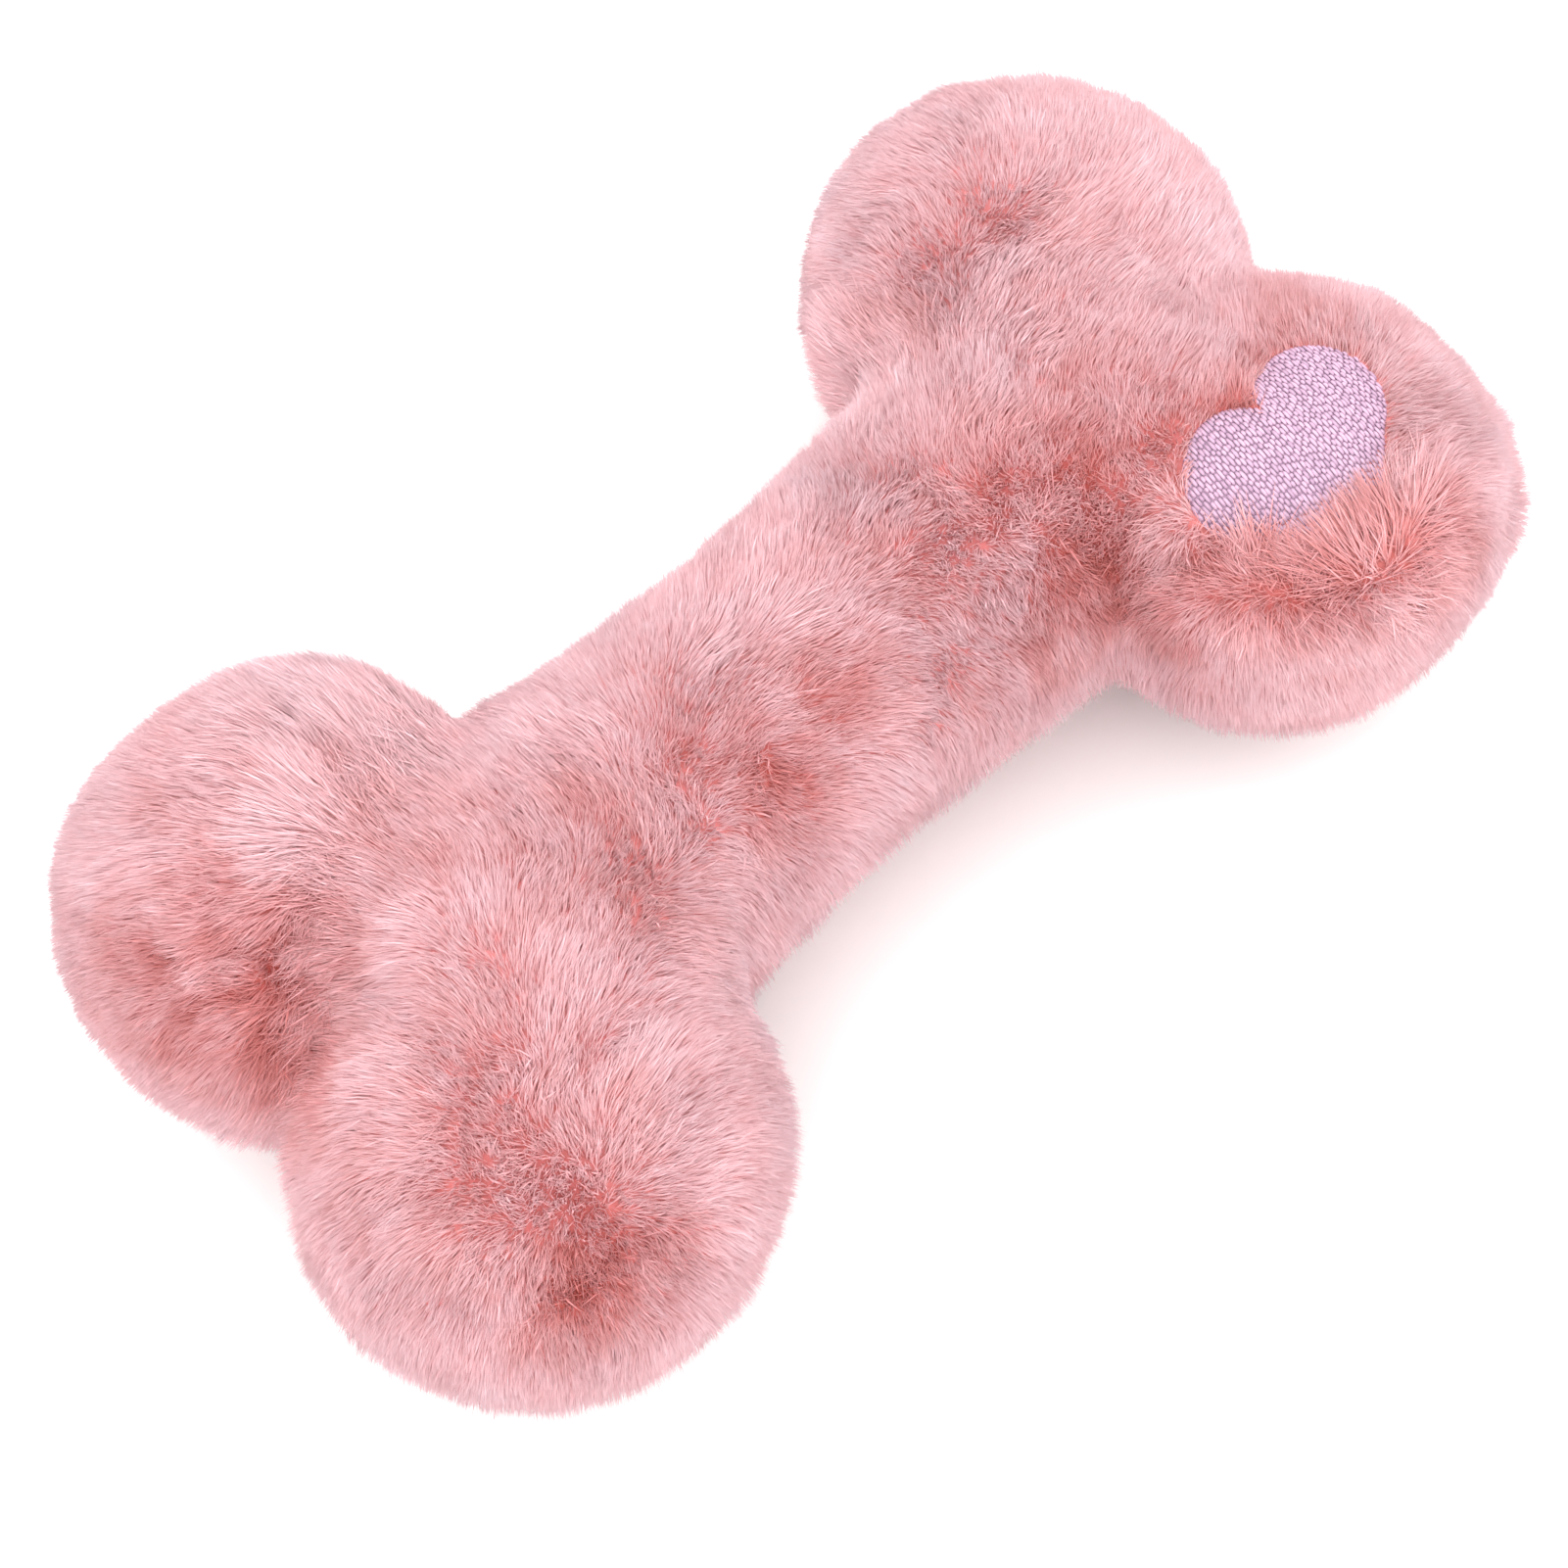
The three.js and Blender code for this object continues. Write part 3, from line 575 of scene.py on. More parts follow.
# The heart: up to 2 mm fuller than the CAD's, because the cloth under it is steeper in the photo.
heart = {
    "x": 56.3,
    "y": -24.0,
    "turn": -2.0,
    "lobeRadius": 7.5,
    "farLobeMore": 0.7,  # the lobe towards the end is that much larger
    "farLobeUp": 0.5,
    "lobeSpacing": 12.6,
    "tip": 17.5,
    "edgeGap": -0.3,
    "partingReach": 3.0,
    "partingPull": -0.2,
    "rollFrom": 0.7,  # the height of the roll from which it counts, and over how much more
    "rollOver": 0.6,
    "rollHides": 1.15,  # where the roll is higher than this, its pile grows over the heart
    "veilUpTo": 3.4,
    "veilFade": 1.6,
    "veilFrom": 0.5,
    "veilReach": 7.0,  # how far from the heart's edge the strands are still drawn over it
    "veilPull": 1.7,
    "veilLonger": 1.0,
}
heartCos, heartSin = math.cos(math.radians(heart["turn"])), math.sin(math.radians(heart["turn"]))


def heartPlan(p):
    # a point's place on the heart: across it, and up towards its lobes
    dx, dy = p[:, 0] - heart["x"], p[:, 1] - heart["y"]
    return np.stack([dx * heartCos + dy * heartSin, dy * heartCos - dx * heartSin], 1)


def fromPlan(v):
    # a direction on the heart's plan as one in space
    return places(v[:, 0] * heartCos - v[:, 1] * heartSin, v[:, 1] * heartCos + v[:, 0] * heartSin, 0.0)


def heartEdge(plan):
    # how far outside the heart a place is: two round lobes, and below their middles the
    # wedge between the two lines from the tip that touch the lobes
    half = heart["lobeSpacing"] / 2
    across, up = np.abs(plan[:, 0]), plan[:, 1]
    far = plan[:, 0] > 0
    lobe = np.hypot(across - half, up - heart["farLobeUp"] * far) - heart["lobeRadius"]
    lobe = lobe - heart["farLobeMore"] * far
    toLobe = math.hypot(half, heart["tip"])
    lean = math.atan2(heart["tip"], half) - math.asin(heart["lobeRadius"] / toLobe) - math.pi / 2
    flank = math.cos(lean) * across + math.sin(lean) * (up + heart["tip"])
    wedge = np.maximum(flank, up)
    return np.minimum(lobe, np.where(across < half + heart["lobeRadius"], wedge, 1e3))


def parted(root, way):
    # Beside the heart the pile is parted, and on the roll it is drawn over the heart. Gives
    # the new way, how much longer each strand is, and which strands stand clear of the thread.
    plan = heartPlan(root)
    edge = heartEdge(plan)
    roll = -lineDepth(root, rollOverTip)
    near = np.clip(1 - edge / heart["partingReach"], 0, 1)[:, None]
    away = fromPlan(unit(outwards(plan, heartEdge, 0.3)))
    onRoll = np.clip((roll - heart["rollFrom"]) / heart["rollOver"], 0, 1)[:, None]
    beside = np.clip(1 - (edge - heart["veilFrom"]) / heart["veilReach"], 0, 1)[:, None]
    over = onRoll * beside * np.clip((heart["veilUpTo"] - roll) / heart["veilFade"], 0, 1)[:, None]
    upHeart = fromPlan(np.array([[0.0, 1.0]]))
    pulled = way + away * heart["partingPull"] * near * (1 - onRoll)
    way = unit(pulled + upHeart * heart["veilPull"] * over)
    keep = (edge > heart["edgeGap"]) | (roll > heart["rollHides"])
    return way, over[:, 0] * heart["veilLonger"], keep


def growPile(piece, patchFaces, counts, seed, byHeart=False, cloth=None):
    # a patch of cloth with its curved strands and its spikes, whose numbers are the counts
    rng = np.random.default_rng(seed)
    parts = [backed(skinPoints if cloth is None else cloth, patchFaces, skinNormals)]
    widths = (pile["strandWidth"], pile["spikeWidth"])
    for curved, count, width in zip((True, False), counts, widths):
        root, normal = scatter(skinPoints, patchFaces, skinNormals, count, rng)
        way = pileDirection(root, normal, rng)
        longer = np.zeros(count)
        if byHeart:
            way, longer, keep = parted(root, way)
            root, normal, way, longer = root[keep], normal[keep], way[keep], longer[keep]
            count = len(root)
        rise = np.maximum((way * normal).sum(1), pile["leastRise"])
        height = pile["rise"] + pile["sink"] + rng.normal(size=count) * pile["riseSpread"]
        height = height + tuftRise(root)
        length = np.minimum(height / rise + longer, pile["mostLength"])
        wide = width * (pile["thinnest"] + pile["widthSpread"] * rng.random(count))
        bend = pile["leastBend"] + pile["bendSpread"] * rng.random(count)
        tone = toneOf(root, rng)
        parts.append(strands(root, normal, way, length, wide, bend, tone, rng, curved, whorlAndShadeAt(root)))
    form = joined(parts)
    form[0][:, 2] = np.maximum(form[0][:, 2], pile["floor"])
    return newPiece(piece, *form, material=furMaterial)


def newMaterial(name):
    # a new material, its nodes and its surface
    material = bpy.data.materials.new(name)
    material.use_nodes = True
    return material, material.node_tree, material.node_tree.nodes["Principled BSDF"]


def worked(tree, operation, *values):
    # one sum of numbers and other nodes' outputs
    node = tree.nodes.new("ShaderNodeMath")
    node.operation = operation
    for socket, value in zip(node.inputs, values):
        if isinstance(value, float):
            socket.default_value = value
        else:
            tree.links.new(value, socket)
    return node.outputs[0]


def ramped(tree, source, stops):
    # a source of 0 to 1 as colours, from stops that each have a place and a colour
    ramp = tree.nodes.new("ShaderNodeValToRGB")
    ends = ramp.color_ramp.elements
    for k in (0, -1):
        ends[k].position, ends[k].color = stops[k][0], (*stops[k][1], 1)
    for place, colour in stops[1:-1]:
        ends.new(place).color = (*colour, 1)
    tree.links.new(source, ramp.inputs["Fac"])
    return ramp.outputs["Color"]


def strandPlace(tree):
    # the two values that each corner of a strand or stitch keeps: its tone and its height
    place = tree.nodes.new("ShaderNodeUVMap")
    place.uv_map = "OFBake"
    split = tree.nodes.new("ShaderNodeSeparateXYZ")
    tree.links.new(place.outputs["UV"], split.inputs[0])
    return split.outputs["X"], split.outputs["Y"]


def grainGroup():
    # a noise of a size in millimetres, read from where the point is on the piece
    group = bpy.data.node_groups.new("grain", "ShaderNodeTree")
    for socket in ("Size", "Detail"):
        group.interface.new_socket(socket, in_out="INPUT", socket_type="NodeSocketFloat")
    group.interface.new_socket("Height", in_out="OUTPUT", socket_type="NodeSocketFloat")
    given, made = group.nodes.new("NodeGroupInput"), group.nodes.new("NodeGroupOutput")
    place = group.nodes.new("ShaderNodeTexCoord")
    noise = group.nodes.new("ShaderNodeTexNoise")
    perMetre = worked(group, "DIVIDE", 1 / metre, given.outputs["Size"])
    group.links.new(perMetre, noise.inputs["Scale"])
    group.links.new(given.outputs["Detail"], noise.inputs["Detail"])
    group.links.new(place.outputs["Object"], noise.inputs["Vector"])
    group.links.new(noise.outputs["Fac"], made.inputs["Height"])
    return group


sharedGrain = grainGroup()


def grain(tree, size, detail):
    # the shared grain placed in a material, with its own size and detail
    node = tree.nodes.new("ShaderNodeGroup")
    node.node_tree = sharedGrain
    node.inputs["Size"].default_value = size
    node.inputs["Detail"].default_value = detail
    return node.outputs["Height"]


furLook = {
    "deep": [(0.1, (0.50, 0.11, 0.09)), (0.55, (0.68, 0.22, 0.21)), (0.92, (0.86, 0.41, 0.415))],
    "pale": [(0.1, (0.66, 0.18, 0.165)), (0.55, (0.89, 0.43, 0.445)), (0.92, (0.97, 0.665, 0.72))],
    "sheenTint": (1.0, 0.72, 0.76, 1),
    "grainSize": 0.5,
    "grain": 0.2,  # how far the grain moves the colour up the strand, and half of it taken off
    "grainLess": 0.1,
}


def furFinish():
    # Colour runs from the root to the tip of each strand, between a deep and a pale strand.
    material, tree, surface = newMaterial("rabbit_pile")
    tone, up = strandPlace(tree)
    lowered = worked(tree, "SUBTRACT", up, furLook["grainLess"])
    height = worked(tree, "MULTIPLY_ADD", grain(tree, furLook["grainSize"], 2.0), furLook["grain"], lowered)
    mix = tree.nodes.new("ShaderNodeMix")
    mix.data_type = "RGBA"
    tree.links.new(tone, mix.inputs[0])
    for kind, socket in (("deep", 6), ("pale", 7)):
        tree.links.new(ramped(tree, height, furLook[kind]), mix.inputs[socket])
    tree.links.new(mix.outputs[2], surface.inputs["Base Color"])
    surface.inputs["Roughness"].default_value = 0.8
    surface.inputs["Specular IOR Level"].default_value = 0.05
    surface.inputs["Sheen Weight"].default_value = 0.1
    surface.inputs["Sheen Roughness"].default_value = 0.45
    surface.inputs["Sheen Tint"].default_value = furLook["sheenTint"]
    return material


def standsFor(piece, node):
    # the piece takes the place of a node of the CAD and has one finish
    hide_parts(node)
    print(piece.name, len(piece.data.polygons))


furMaterial = furFinish()
skinPoints, skinFaces = stuffedSkin(pile["rise"])
skinNormals = unit(outwards(skinPoints))
centres = skinPoints[skinFaces].mean(1)
owner = np.argmin(limbDepths(centres), axis=1)
upper = centres[:, 2] > bone["middleZ"]

print("fur")
furCounts = {
    "upperKnob": (3000, 47000),
    "lowerKnob": (2000, 20000),
    "upperShaft": (2600, 41000),
    "lowerShaft": (2600, 26000),
}
blendReach = 0.045  # metres
# The cloth of the shaft is tucked in where its upper and lower halves meet, most in the middle of
# its length, so that no edge of it shows when the top sinks past the bottom.
seamTuck = {"depth": 2.0, "reach": 3.5}
atSeam = np.clip(1 - np.abs(skinPoints[:, 2] - bone["middleZ"]) / seamTuck["reach"], 0, 1)
atWaist = np.clip(1 - (skinPoints[:, 0] * metre / blendReach) ** 2, 0, 1)
shaftCloth = skinPoints - skinNormals * (seamTuck["depth"] * atSeam * atWaist)[:, None]
seed = 100
for limb, name in enumerate(limbNames[:4]):
    for level, isUpper in (("upper", True), ("lower", False)):
        seed += 1
        patch = skinFaces[(owner == limb) & (upper == isUpper)]
        byHeart = isUpper and name == "right_front"
        piece = growPile(f"{level}_fur_{name}", patch, furCounts[level + "Knob"], seed, byHeart)
        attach(piece, "bone")
        standsFor(piece, f"{level}_cover_{name}")
for side, sign in (("left", -1), ("right", 1)):
    seed += 1
    patch = skinFaces[(owner == 4) & upper & (centres[:, 0] * sign > 0)]
    piece = growPile(f"upper_fur_shaft_{side}", patch, furCounts["upperShaft"], seed, cloth=shaftCloth)
    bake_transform(piece)
    standsFor(piece, "upper_cover_shaft")
patch = skinFaces[(owner == 4) & ~upper]
piece = growPile("lower_fur_shaft", patch, furCounts["lowerShaft"], seed + 1, cloth=shaftCloth)
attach(piece, "bone")
standsFor(piece, "lower_cover_shaft")


def halved(isNear, near, far):
    # each place between near and far where isNear ends, by halving
    for _ in range(22):
        middle = (near + far) / 2
        inside = isNear(middle)
        near, far = np.where(inside, middle, near), np.where(inside, far, middle)
    return near


def onTop(x, y, depth):
    # points above x and y that lie at that depth below the tips; the roll is left out
    low, high = np.full(len(x), bone["middleZ"]), np.full(len(x), bone["overTop"])
    return places(x, y, halved(lambda z: underRoll(places(x, y, z)) < -depth, low, high))


def vertexNormals(points, faces):
    # the normals of the triangles round each point, added up
    out = np.zeros_like(points)
    face = crossed(points, faces)
    for k in range(3):
        np.add.at(out, faces[:, k], face)
    return unit(out)


def nodeForm(name):
    # the CAD's own mesh of a piece in millimetres, with its doubled corners merged
    points, corners = readMesh(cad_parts[name].data)
    points, back = np.unique(points.round(6), axis=0, return_inverse=True)
    faces = back.ravel()[corners]
    whole = (faces != np.roll(faces, 1, axis=1)).all(1)
    return points.astype(float) / metre, faces[whole]


def plainFinish(name, deep, pale, size, roughness, bump=0.0, sheen=0.0):
    # two colours mixed by a grain of that size, with a bump as high as given in millimetres
    material, tree, surface = newMaterial(name)
    noise = grain(tree, size, 3.0)
    tree.links.new(ramped(tree, noise, [(0.3, deep), (0.7, pale)]), surface.inputs["Base Color"])
    if bump > 0:
        relief = tree.nodes.new("ShaderNodeBump")
        relief.inputs["Distance"].default_value = bump * metre
        relief.inputs["Strength"].default_value = 0.8
        tree.links.new(noise, relief.inputs["Height"])
        tree.links.new(relief.outputs["Normal"], surface.inputs["Normal"])
    surface.inputs["Roughness"].default_value = roughness
    surface.inputs["Sheen Weight"].default_value = sheen
    return material


print("heart")
stitching = {
    "pitch": 0.46,  # from row to row
    "length": 1.1,
    "jitter": 0.3,
    "sway": 0.06,
    "shortest": 0.6,  # the least length of a row's first and last stitch
    "halfWidth": 0.25,
    "halfHeight": 0.18,
    "topDepth": 2.0,
    "dip": 0.18,
    "sides": 5,
    "rowInset": 0.3,
    "tone": 0.68,
    "toneSpread": 0.2,
}
pad = {"inset": 0.2, "top": 2.4, "under": 3.6, "rows": 40, "columns": 24}
# Along one stitch: the places of its rings, how far each dips, its width and its colour, deeper towards its
# ends as painted shade where it dips into the cloth.
stitchShares = {
    "place": (0.0, 0.18, 0.5, 0.82, 1.0),
    "dip": (1.0, 0.25, 0.0, 0.25, 1.0),
    "width": (0.55, 0.92, 1.0, 0.92, 0.55),
    "colour": (0.5, 0.8, 1.0, 0.8, 0.5),
}
heartLook = {"stops": [(0.05, (0.41, 0.25, 0.375)), (0.8, (0.62, 0.405, 0.545))], "endShade": 0.1}


def heartSpan(across):
    # where each line up the heart starts and ends: from the flank, or from the lobe's lower
    # half where that is lower, up to the lobe's upper half
    highest = heart["lobeRadius"] + heart["farLobeMore"] + heart["farLobeUp"]
    up = np.linspace(-heart["tip"], highest, 400)
    grid = np.stack(np.meshgrid(across, up, indexing="ij"), -1)
    inside = heartEdge(grid.reshape(-1, 2)).reshape(grid.shape[:2]) < -0.15
    low = up[np.argmax(inside, axis=1)]
    high = up[len(up) - 1 - np.argmax(inside[:, ::-1], axis=1)]
    return low, high, inside.any(1)


def heartPoint(across, up, depth):
    # a place on the heart's plan as a point of the bone at that depth
    flat = fromPlan(np.stack([across.ravel(), up.ravel()], 1))
    return onTop(flat[:, 0] + heart["x"], flat[:, 1] + heart["y"], depth)


def heartPad():
    # the pad under the stitches: a top and an underside, row by row, closed round their edge
    reach = heart["lobeSpacing"] / 2 + heart["lobeRadius"] - pad["inset"]
    across = np.linspace(-reach, reach + heart["farLobeMore"], pad["rows"])
    low, high, _ = heartSpan(across)
    share = np.linspace(0, 1, pad["columns"])
    up = low[:, None] + (high - low)[:, None] * share
    wide = np.repeat(across[:, None], len(share), 1)
    top = heartPoint(wide, up, pad["top"]).reshape(len(across), -1, 3)
    under = heartPoint(wide, up, pad["under"]).reshape(len(across), -1, 3)
    rows = np.concatenate([top, under[:, ::-1]], 1)
    points, faces = closedGrid(rows, rows[0].mean(0), rows[-1].mean(0))
    # the pad's colour sits low on the ramp, as painted shade between the stitches
    return points, faces, 0.5 + points[:, :2] * metre


def stitchRows(rng):
    # where each stitch begins and ends, and its row: rows up the heart, cut at uneven places
    reach = heart["lobeSpacing"] / 2 + heart["lobeRadius"] - stitching["rowInset"]
    across = np.arange(-reach, reach + heart["farLobeMore"], stitching["pitch"])
    low, high, there = heartSpan(across)
    begin, finish, row = [], [], []
    for k in np.flatnonzero(there):
        cuts = np.arange(-heart["tip"], heart["lobeRadius"] + 5, stitching["length"])
        cuts = cuts + (k % 2 + rng.uniform(-0.5, 0.5)) * stitching["length"] / 2
        cuts = cuts + rng.uniform(-1, 1, len(cuts)) * stitching["jitter"]
        cuts = cuts[(cuts > low[k] + stitching["shortest"]) & (cuts < high[k] - stitching["shortest"])]
        ends = np.concatenate([[low[k]], cuts, [high[k]]])
        begin.append(ends[:-1])
        finish.append(ends[1:])
        row.append(np.full(len(ends) - 1, across[k]))
    return (np.concatenate(v) for v in (begin, finish, row))


def heartStitches(rng):
    # each stitch is a closed tube of five rings that dips into the cloth at both its ends
    begin, finish, row = stitchRows(rng)
    share, dip, swell, colour = (np.array(v) for v in stitchShares.values())
    count, stations = len(row), len(share)
    up = begin[:, None] + (finish - begin)[:, None] * share
    sway = rng.uniform(-stitching["sway"], stitching["sway"], (count, 1)) * np.ones(stations)
    centre = heartPoint(row[:, None] + sway, up, stitching["topDepth"] + stitching["halfHeight"])
    normal = unit(outwards(centre, underRoll)).reshape(count, stations, 3)
    centre = centre.reshape(count, stations, 3) - normal * (dip * stitching["dip"])[None, :, None]
    along = unit(centre[:, -1] - centre[:, 0])[:, None, :]
    side = unit(np.cross(along, normal))
    angle, swell = turns(stitching["sides"])[None, None, :, None], swell[None, :, None, None]
    wide = stitching["halfWidth"] * swell * np.cos(angle)
    high = stitching["halfHeight"] * swell * np.sin(angle)
    rings = centre[:, :, None, :] + side[:, :, None, :] * wide + normal[:, :, None, :] * high
    _, faces = closedGrid(rings[0], centre[0, 0], centre[0, -1])
    points = np.concatenate([centre[:, :1], rings.reshape(count, -1, 3), centre[:, -1:]], 1)
    allFaces = (np.arange(count) * points.shape[1])[:, None, None] + faces[None]
    tone = np.clip(rng.normal(stitching["tone"], stitching["toneSpread"], count), 0.2, 1)
    # the end caps get the deepest colour, as painted shade where the stitch goes into the cloth
    end = [heartLook["endShade"]]
    height = np.concatenate([end, np.repeat(colour, stitching["sides"]), end])
    uv = np.stack([np.repeat(tone, points.shape[1]), np.tile(height, count)], 1)
    return points.reshape(-1, 3), allFaces.reshape(-1, 3), uv


def heartFinish():
    # each stitch's own tone, with painted shade where it dips into the cloth and on the pad between the
    # stitches
    material, tree, surface = newMaterial("heart_thread")
    product = worked(tree, "MULTIPLY", *strandPlace(tree))
    tree.links.new(ramped(tree, product, heartLook["stops"]), surface.inputs["Base Color"])
    surface.inputs["Roughness"].default_value = 0.42
    surface.inputs["Sheen Weight"].default_value = 0.2
    return material


heartForm = joined([heartPad(), heartStitches(np.random.default_rng(7))])
heartPiece = newPiece("embroidery_stitches", *heartForm, material=heartFinish())
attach(heartPiece, "bone")
standsFor(heartPiece, "embroidered_heart")

print("filling")
wads = {
    "voxel": 1.6,
    "lump": 0.35,
    "lumpSize": 6.0,
    "fluff": 0.2,
    "fluffSize": 2.0,
    "fibreCount": 320,
    "fibreLength": 6.0,
    "fibreWidth": 0.22,
    "fibreBend": 0.04,
    "fibreRise": 0.1,
    "fill": 0.7,
    "flattened": 0.1,
    "shaftAnchor": 0.02835,  # metres
}
fibreMaterial = plainFinish(
    "polyester_fibre", (0.80, 0.79, 0.76), (0.92, 0.92, 0.90), 1.2, 0.85, bump=0.4, sheen=0.4
)


def wad(node, seed, body="bone"):
    # a wad of fibre: the CAD's form with lumps and fluff, and loose fibres lying on it
    rng = np.random.default_rng(seed)
    points, faces = remeshed(*nodeForm(node), wads["voxel"])
    faces = facedOut(points, faces)
    normals = vertexNormals(points, faces)
    away = wads["lump"] * softNoise(points, wads["lumpSize"], seed)
    away = away + wads["fluff"] * softNoise(points, wads["fluffSize"], seed + 1)
    points = points + normals * away[:, None]
    root, normal = scatter(points, faces, normals, wads["fibreCount"], rng)
    way = unit(normal * wads["fibreRise"] + np.cross(normal, rng.normal(size=root.shape)))
    length = wads["fibreLength"] * (0.5 + 0.5 * rng.random(len(root)))
    wide = np.full(len(root), wads["fibreWidth"])
    tone = rng.uniform(0.2, 0.8, len(root))
    loose = strands(root, normal, way, length, wide, wads["fibreBend"], tone, rng, True)
    form = joined([(points, faces), loose[:2]])
    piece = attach(newPiece(node + "_fibre", *form, material=fibreMaterial), body)
    standsFor(piece, node)
    return piece


for k, name in enumerate(limbNames[:4] + ["shaft_base"]):
    wad("filling_" + name, 300 + k)
wad("filling_shaft_crown", 310, "crown")
for k, name in enumerate(["filling_shaft_left", "filling_shaft_right"]):
    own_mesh(wad(name, 320 + k))

print("threads")
threads = {
    "plyRadius": 0.24,
    "plyOffset": 0.2,
    "twistPitch": 2.6,
    "step": 0.65,
    "sides": 5,
    "seamDepth": 3.7,  # below the tips of the pile
    "seamZ": 26.05,
    "openHalf": 18.3,
    "openY": 19.0,
    "ringStep": 0.8,
}
ladder = {
    "half": 17.6,
    "depth": 4.6,  # deeper than the seam, so that it stays hidden when the shaft is squeezed
    "height": 0.7,
    "pitch": 4.0,
    "squareness": 2.2,
    "points": 220,
}
threadMaterial = plainFinish("seam_thread", (0.78, 0.36, 0.40), (0.88, 0.50, 0.54), 0.5, 0.5, sheen=0.2)


def resampled(path, count):
    # a path as that many even lengths
    gone = np.concatenate([[0], np.cumsum(np.linalg.norm(np.diff(path, axis=0), axis=1))])
    wanted = np.linspace(0, gone[-1], count + 1)
    return np.stack([np.interp(wanted, gone, path[:, k]) for k in range(3)], 1)


def steps(path, step):
    # how many such steps a path is long
    return max(int(np.cumsum(np.linalg.norm(np.diff(path, axis=0), axis=1))[-1] / step), 2)


def bonePlan():
    # the line round the bone at the seam's height and depth: an oval pulled onto it, made
    # even again after each pull
    turn = np.linspace(0, 2 * math.pi, 721)
    ring = places(95 * np.cos(turn), 55 * np.sin(turn), threads["seamZ"])
    for _ in range(60):
        ring = pulledTo(ring, threads["seamDepth"], 0.6, flat=True)
        ring = resampled(ring, steps(ring, threads["ringStep"]))
    return ring


def twisted(path, helper):
    # two plies wound round the path, as closed tubes
    path = resampled(path, steps(path, threads["step"]))
    gone = np.arange(len(path)) * np.linalg.norm(path[1] - path[0])
    along = unit(np.gradient(path, axis=0))
    side = unit(np.cross(along, helper))
    up = np.cross(side, along)
    parts = []
    angle = turns(threads["sides"])[None, :, None]
    for ply in (0, 1):
        turn = (2 * math.pi * gone / threads["twistPitch"] + ply * math.pi)[:, None]
        centre = path + (side * np.cos(turn) + up * np.sin(turn)) * threads["plyOffset"]
        ring = side[:, None] * np.cos(angle) + up[:, None] * np.sin(angle)
        parts.append(closedGrid(centre[:, None] + ring * threads["plyRadius"], centre[0], centre[-1]))
    return joined(parts)


def threadPiece(name, node, path, helper):
    piece = newPiece(name, *twisted(path, np.array(helper, float)), material=threadMaterial)
    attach(piece, "bone")
    standsFor(piece, node)


def ladderPath():
    # a square wave along the closed gap: tanh(squareness * sin), at its own depth
    x = np.linspace(-ladder["half"], ladder["half"], ladder["points"])
    square = ladder["squareness"]
    wave = np.sin(math.pi * (x + ladder["half"]) / ladder["pitch"])
    z = threads["seamZ"] + ladder["height"] * (np.tanh(square * wave) / math.tanh(square))
    near, far = np.full(len(x), 8.0), np.full(len(x), 32.0)
    y = halved(lambda y: boneDepth(places(x, y, z)) < -ladder["depth"], near, far)
    return places(x, y, z)


seamRing = bonePlan()[:-1]
gapEnds = []
for sign in (-1, 1):
    away = np.hypot(seamRing[:, 0] - sign * threads["openHalf"], seamRing[:, 1] - threads["openY"])
    gapEnds.append(np.argmin(away))
seamPath = np.roll(seamRing, -gapEnds[0], axis=0)[: (gapEnds[1] - gapEnds[0]) % len(seamRing) + 1]
threadPiece("edge_seam_plies", "edge_seam_thread", seamPath, (0, 0, 1))
threadPiece("ladder_stitch_plies", "closing_ladder_thread", ladderPath(), (0, 1, 0))

print("cloth inside")
stabiliser = {
    "reach": 17.9,
    "depth": 6.5,
    "thickness": 0.4,
    "step": 0.5,
    "steps": 60,
    "rings": 14,
    "columns": 56,
    "lowest": 26.7,
}
nonwovenMaterial = plainFinish("nonwoven", (0.78, 0.78, 0.77), (0.93, 0.93, 0.92), 0.7, 0.8, bump=0.15)


def discGrid():
    # walks outwards along the bone's inner side from under the heart, in every direction
    turn = turns(stabiliser["columns"])
    way = places(np.cos(turn), np.sin(turn), 0.0)
    start = onTop(np.array([heart["x"]]), np.array([heart["y"]]), stabiliser["depth"])
    at = np.repeat(start, len(turn), 0)
    trail = [at]
    for _ in range(stabiliser["steps"]):
        slope = unit(outwards(at, underRoll))
        step = unit(way - slope * (way * slope).sum(1, keepdims=True))
        ahead = at + step * stabiliser["step"]
        miss = underRoll(ahead) + stabiliser["depth"]
        ahead = ahead - unit(outwards(ahead, underRoll)) * miss[:, None] * 0.9
        out = np.hypot(ahead[:, 0] - heart["x"], ahead[:, 1] - heart["y"])
        stop = (out > stabiliser["reach"]) | (ahead[:, 2] < stabiliser["lowest"])
        at = np.where(stop[:, None], at, ahead)
        trail.append(at)
    rows = [resampled(t, stabiliser["rings"])[1:] for t in np.stack(trail, 1)]
    return start[0], np.stack(rows, 1)


discMiddle, discRows = discGrid()
thick = stabiliser["thickness"]
half = unit(outwards(discRows.reshape(-1, 3), underRoll)).reshape(discRows.shape) * thick / 2
middleUp = unit(outwards(discMiddle[None], underRoll))[0] * thick / 2
bothSides = np.concatenate([discRows + half, (discRows - half)[::-1]])
discForm = closedGrid(bothSides, discMiddle + middleUp, discMiddle - middleUp)
disc = newPiece("tearaway_disc", *discForm, material=nonwovenMaterial)
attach(disc, "bone")
standsFor(disc, "embroidery_stabiliser")


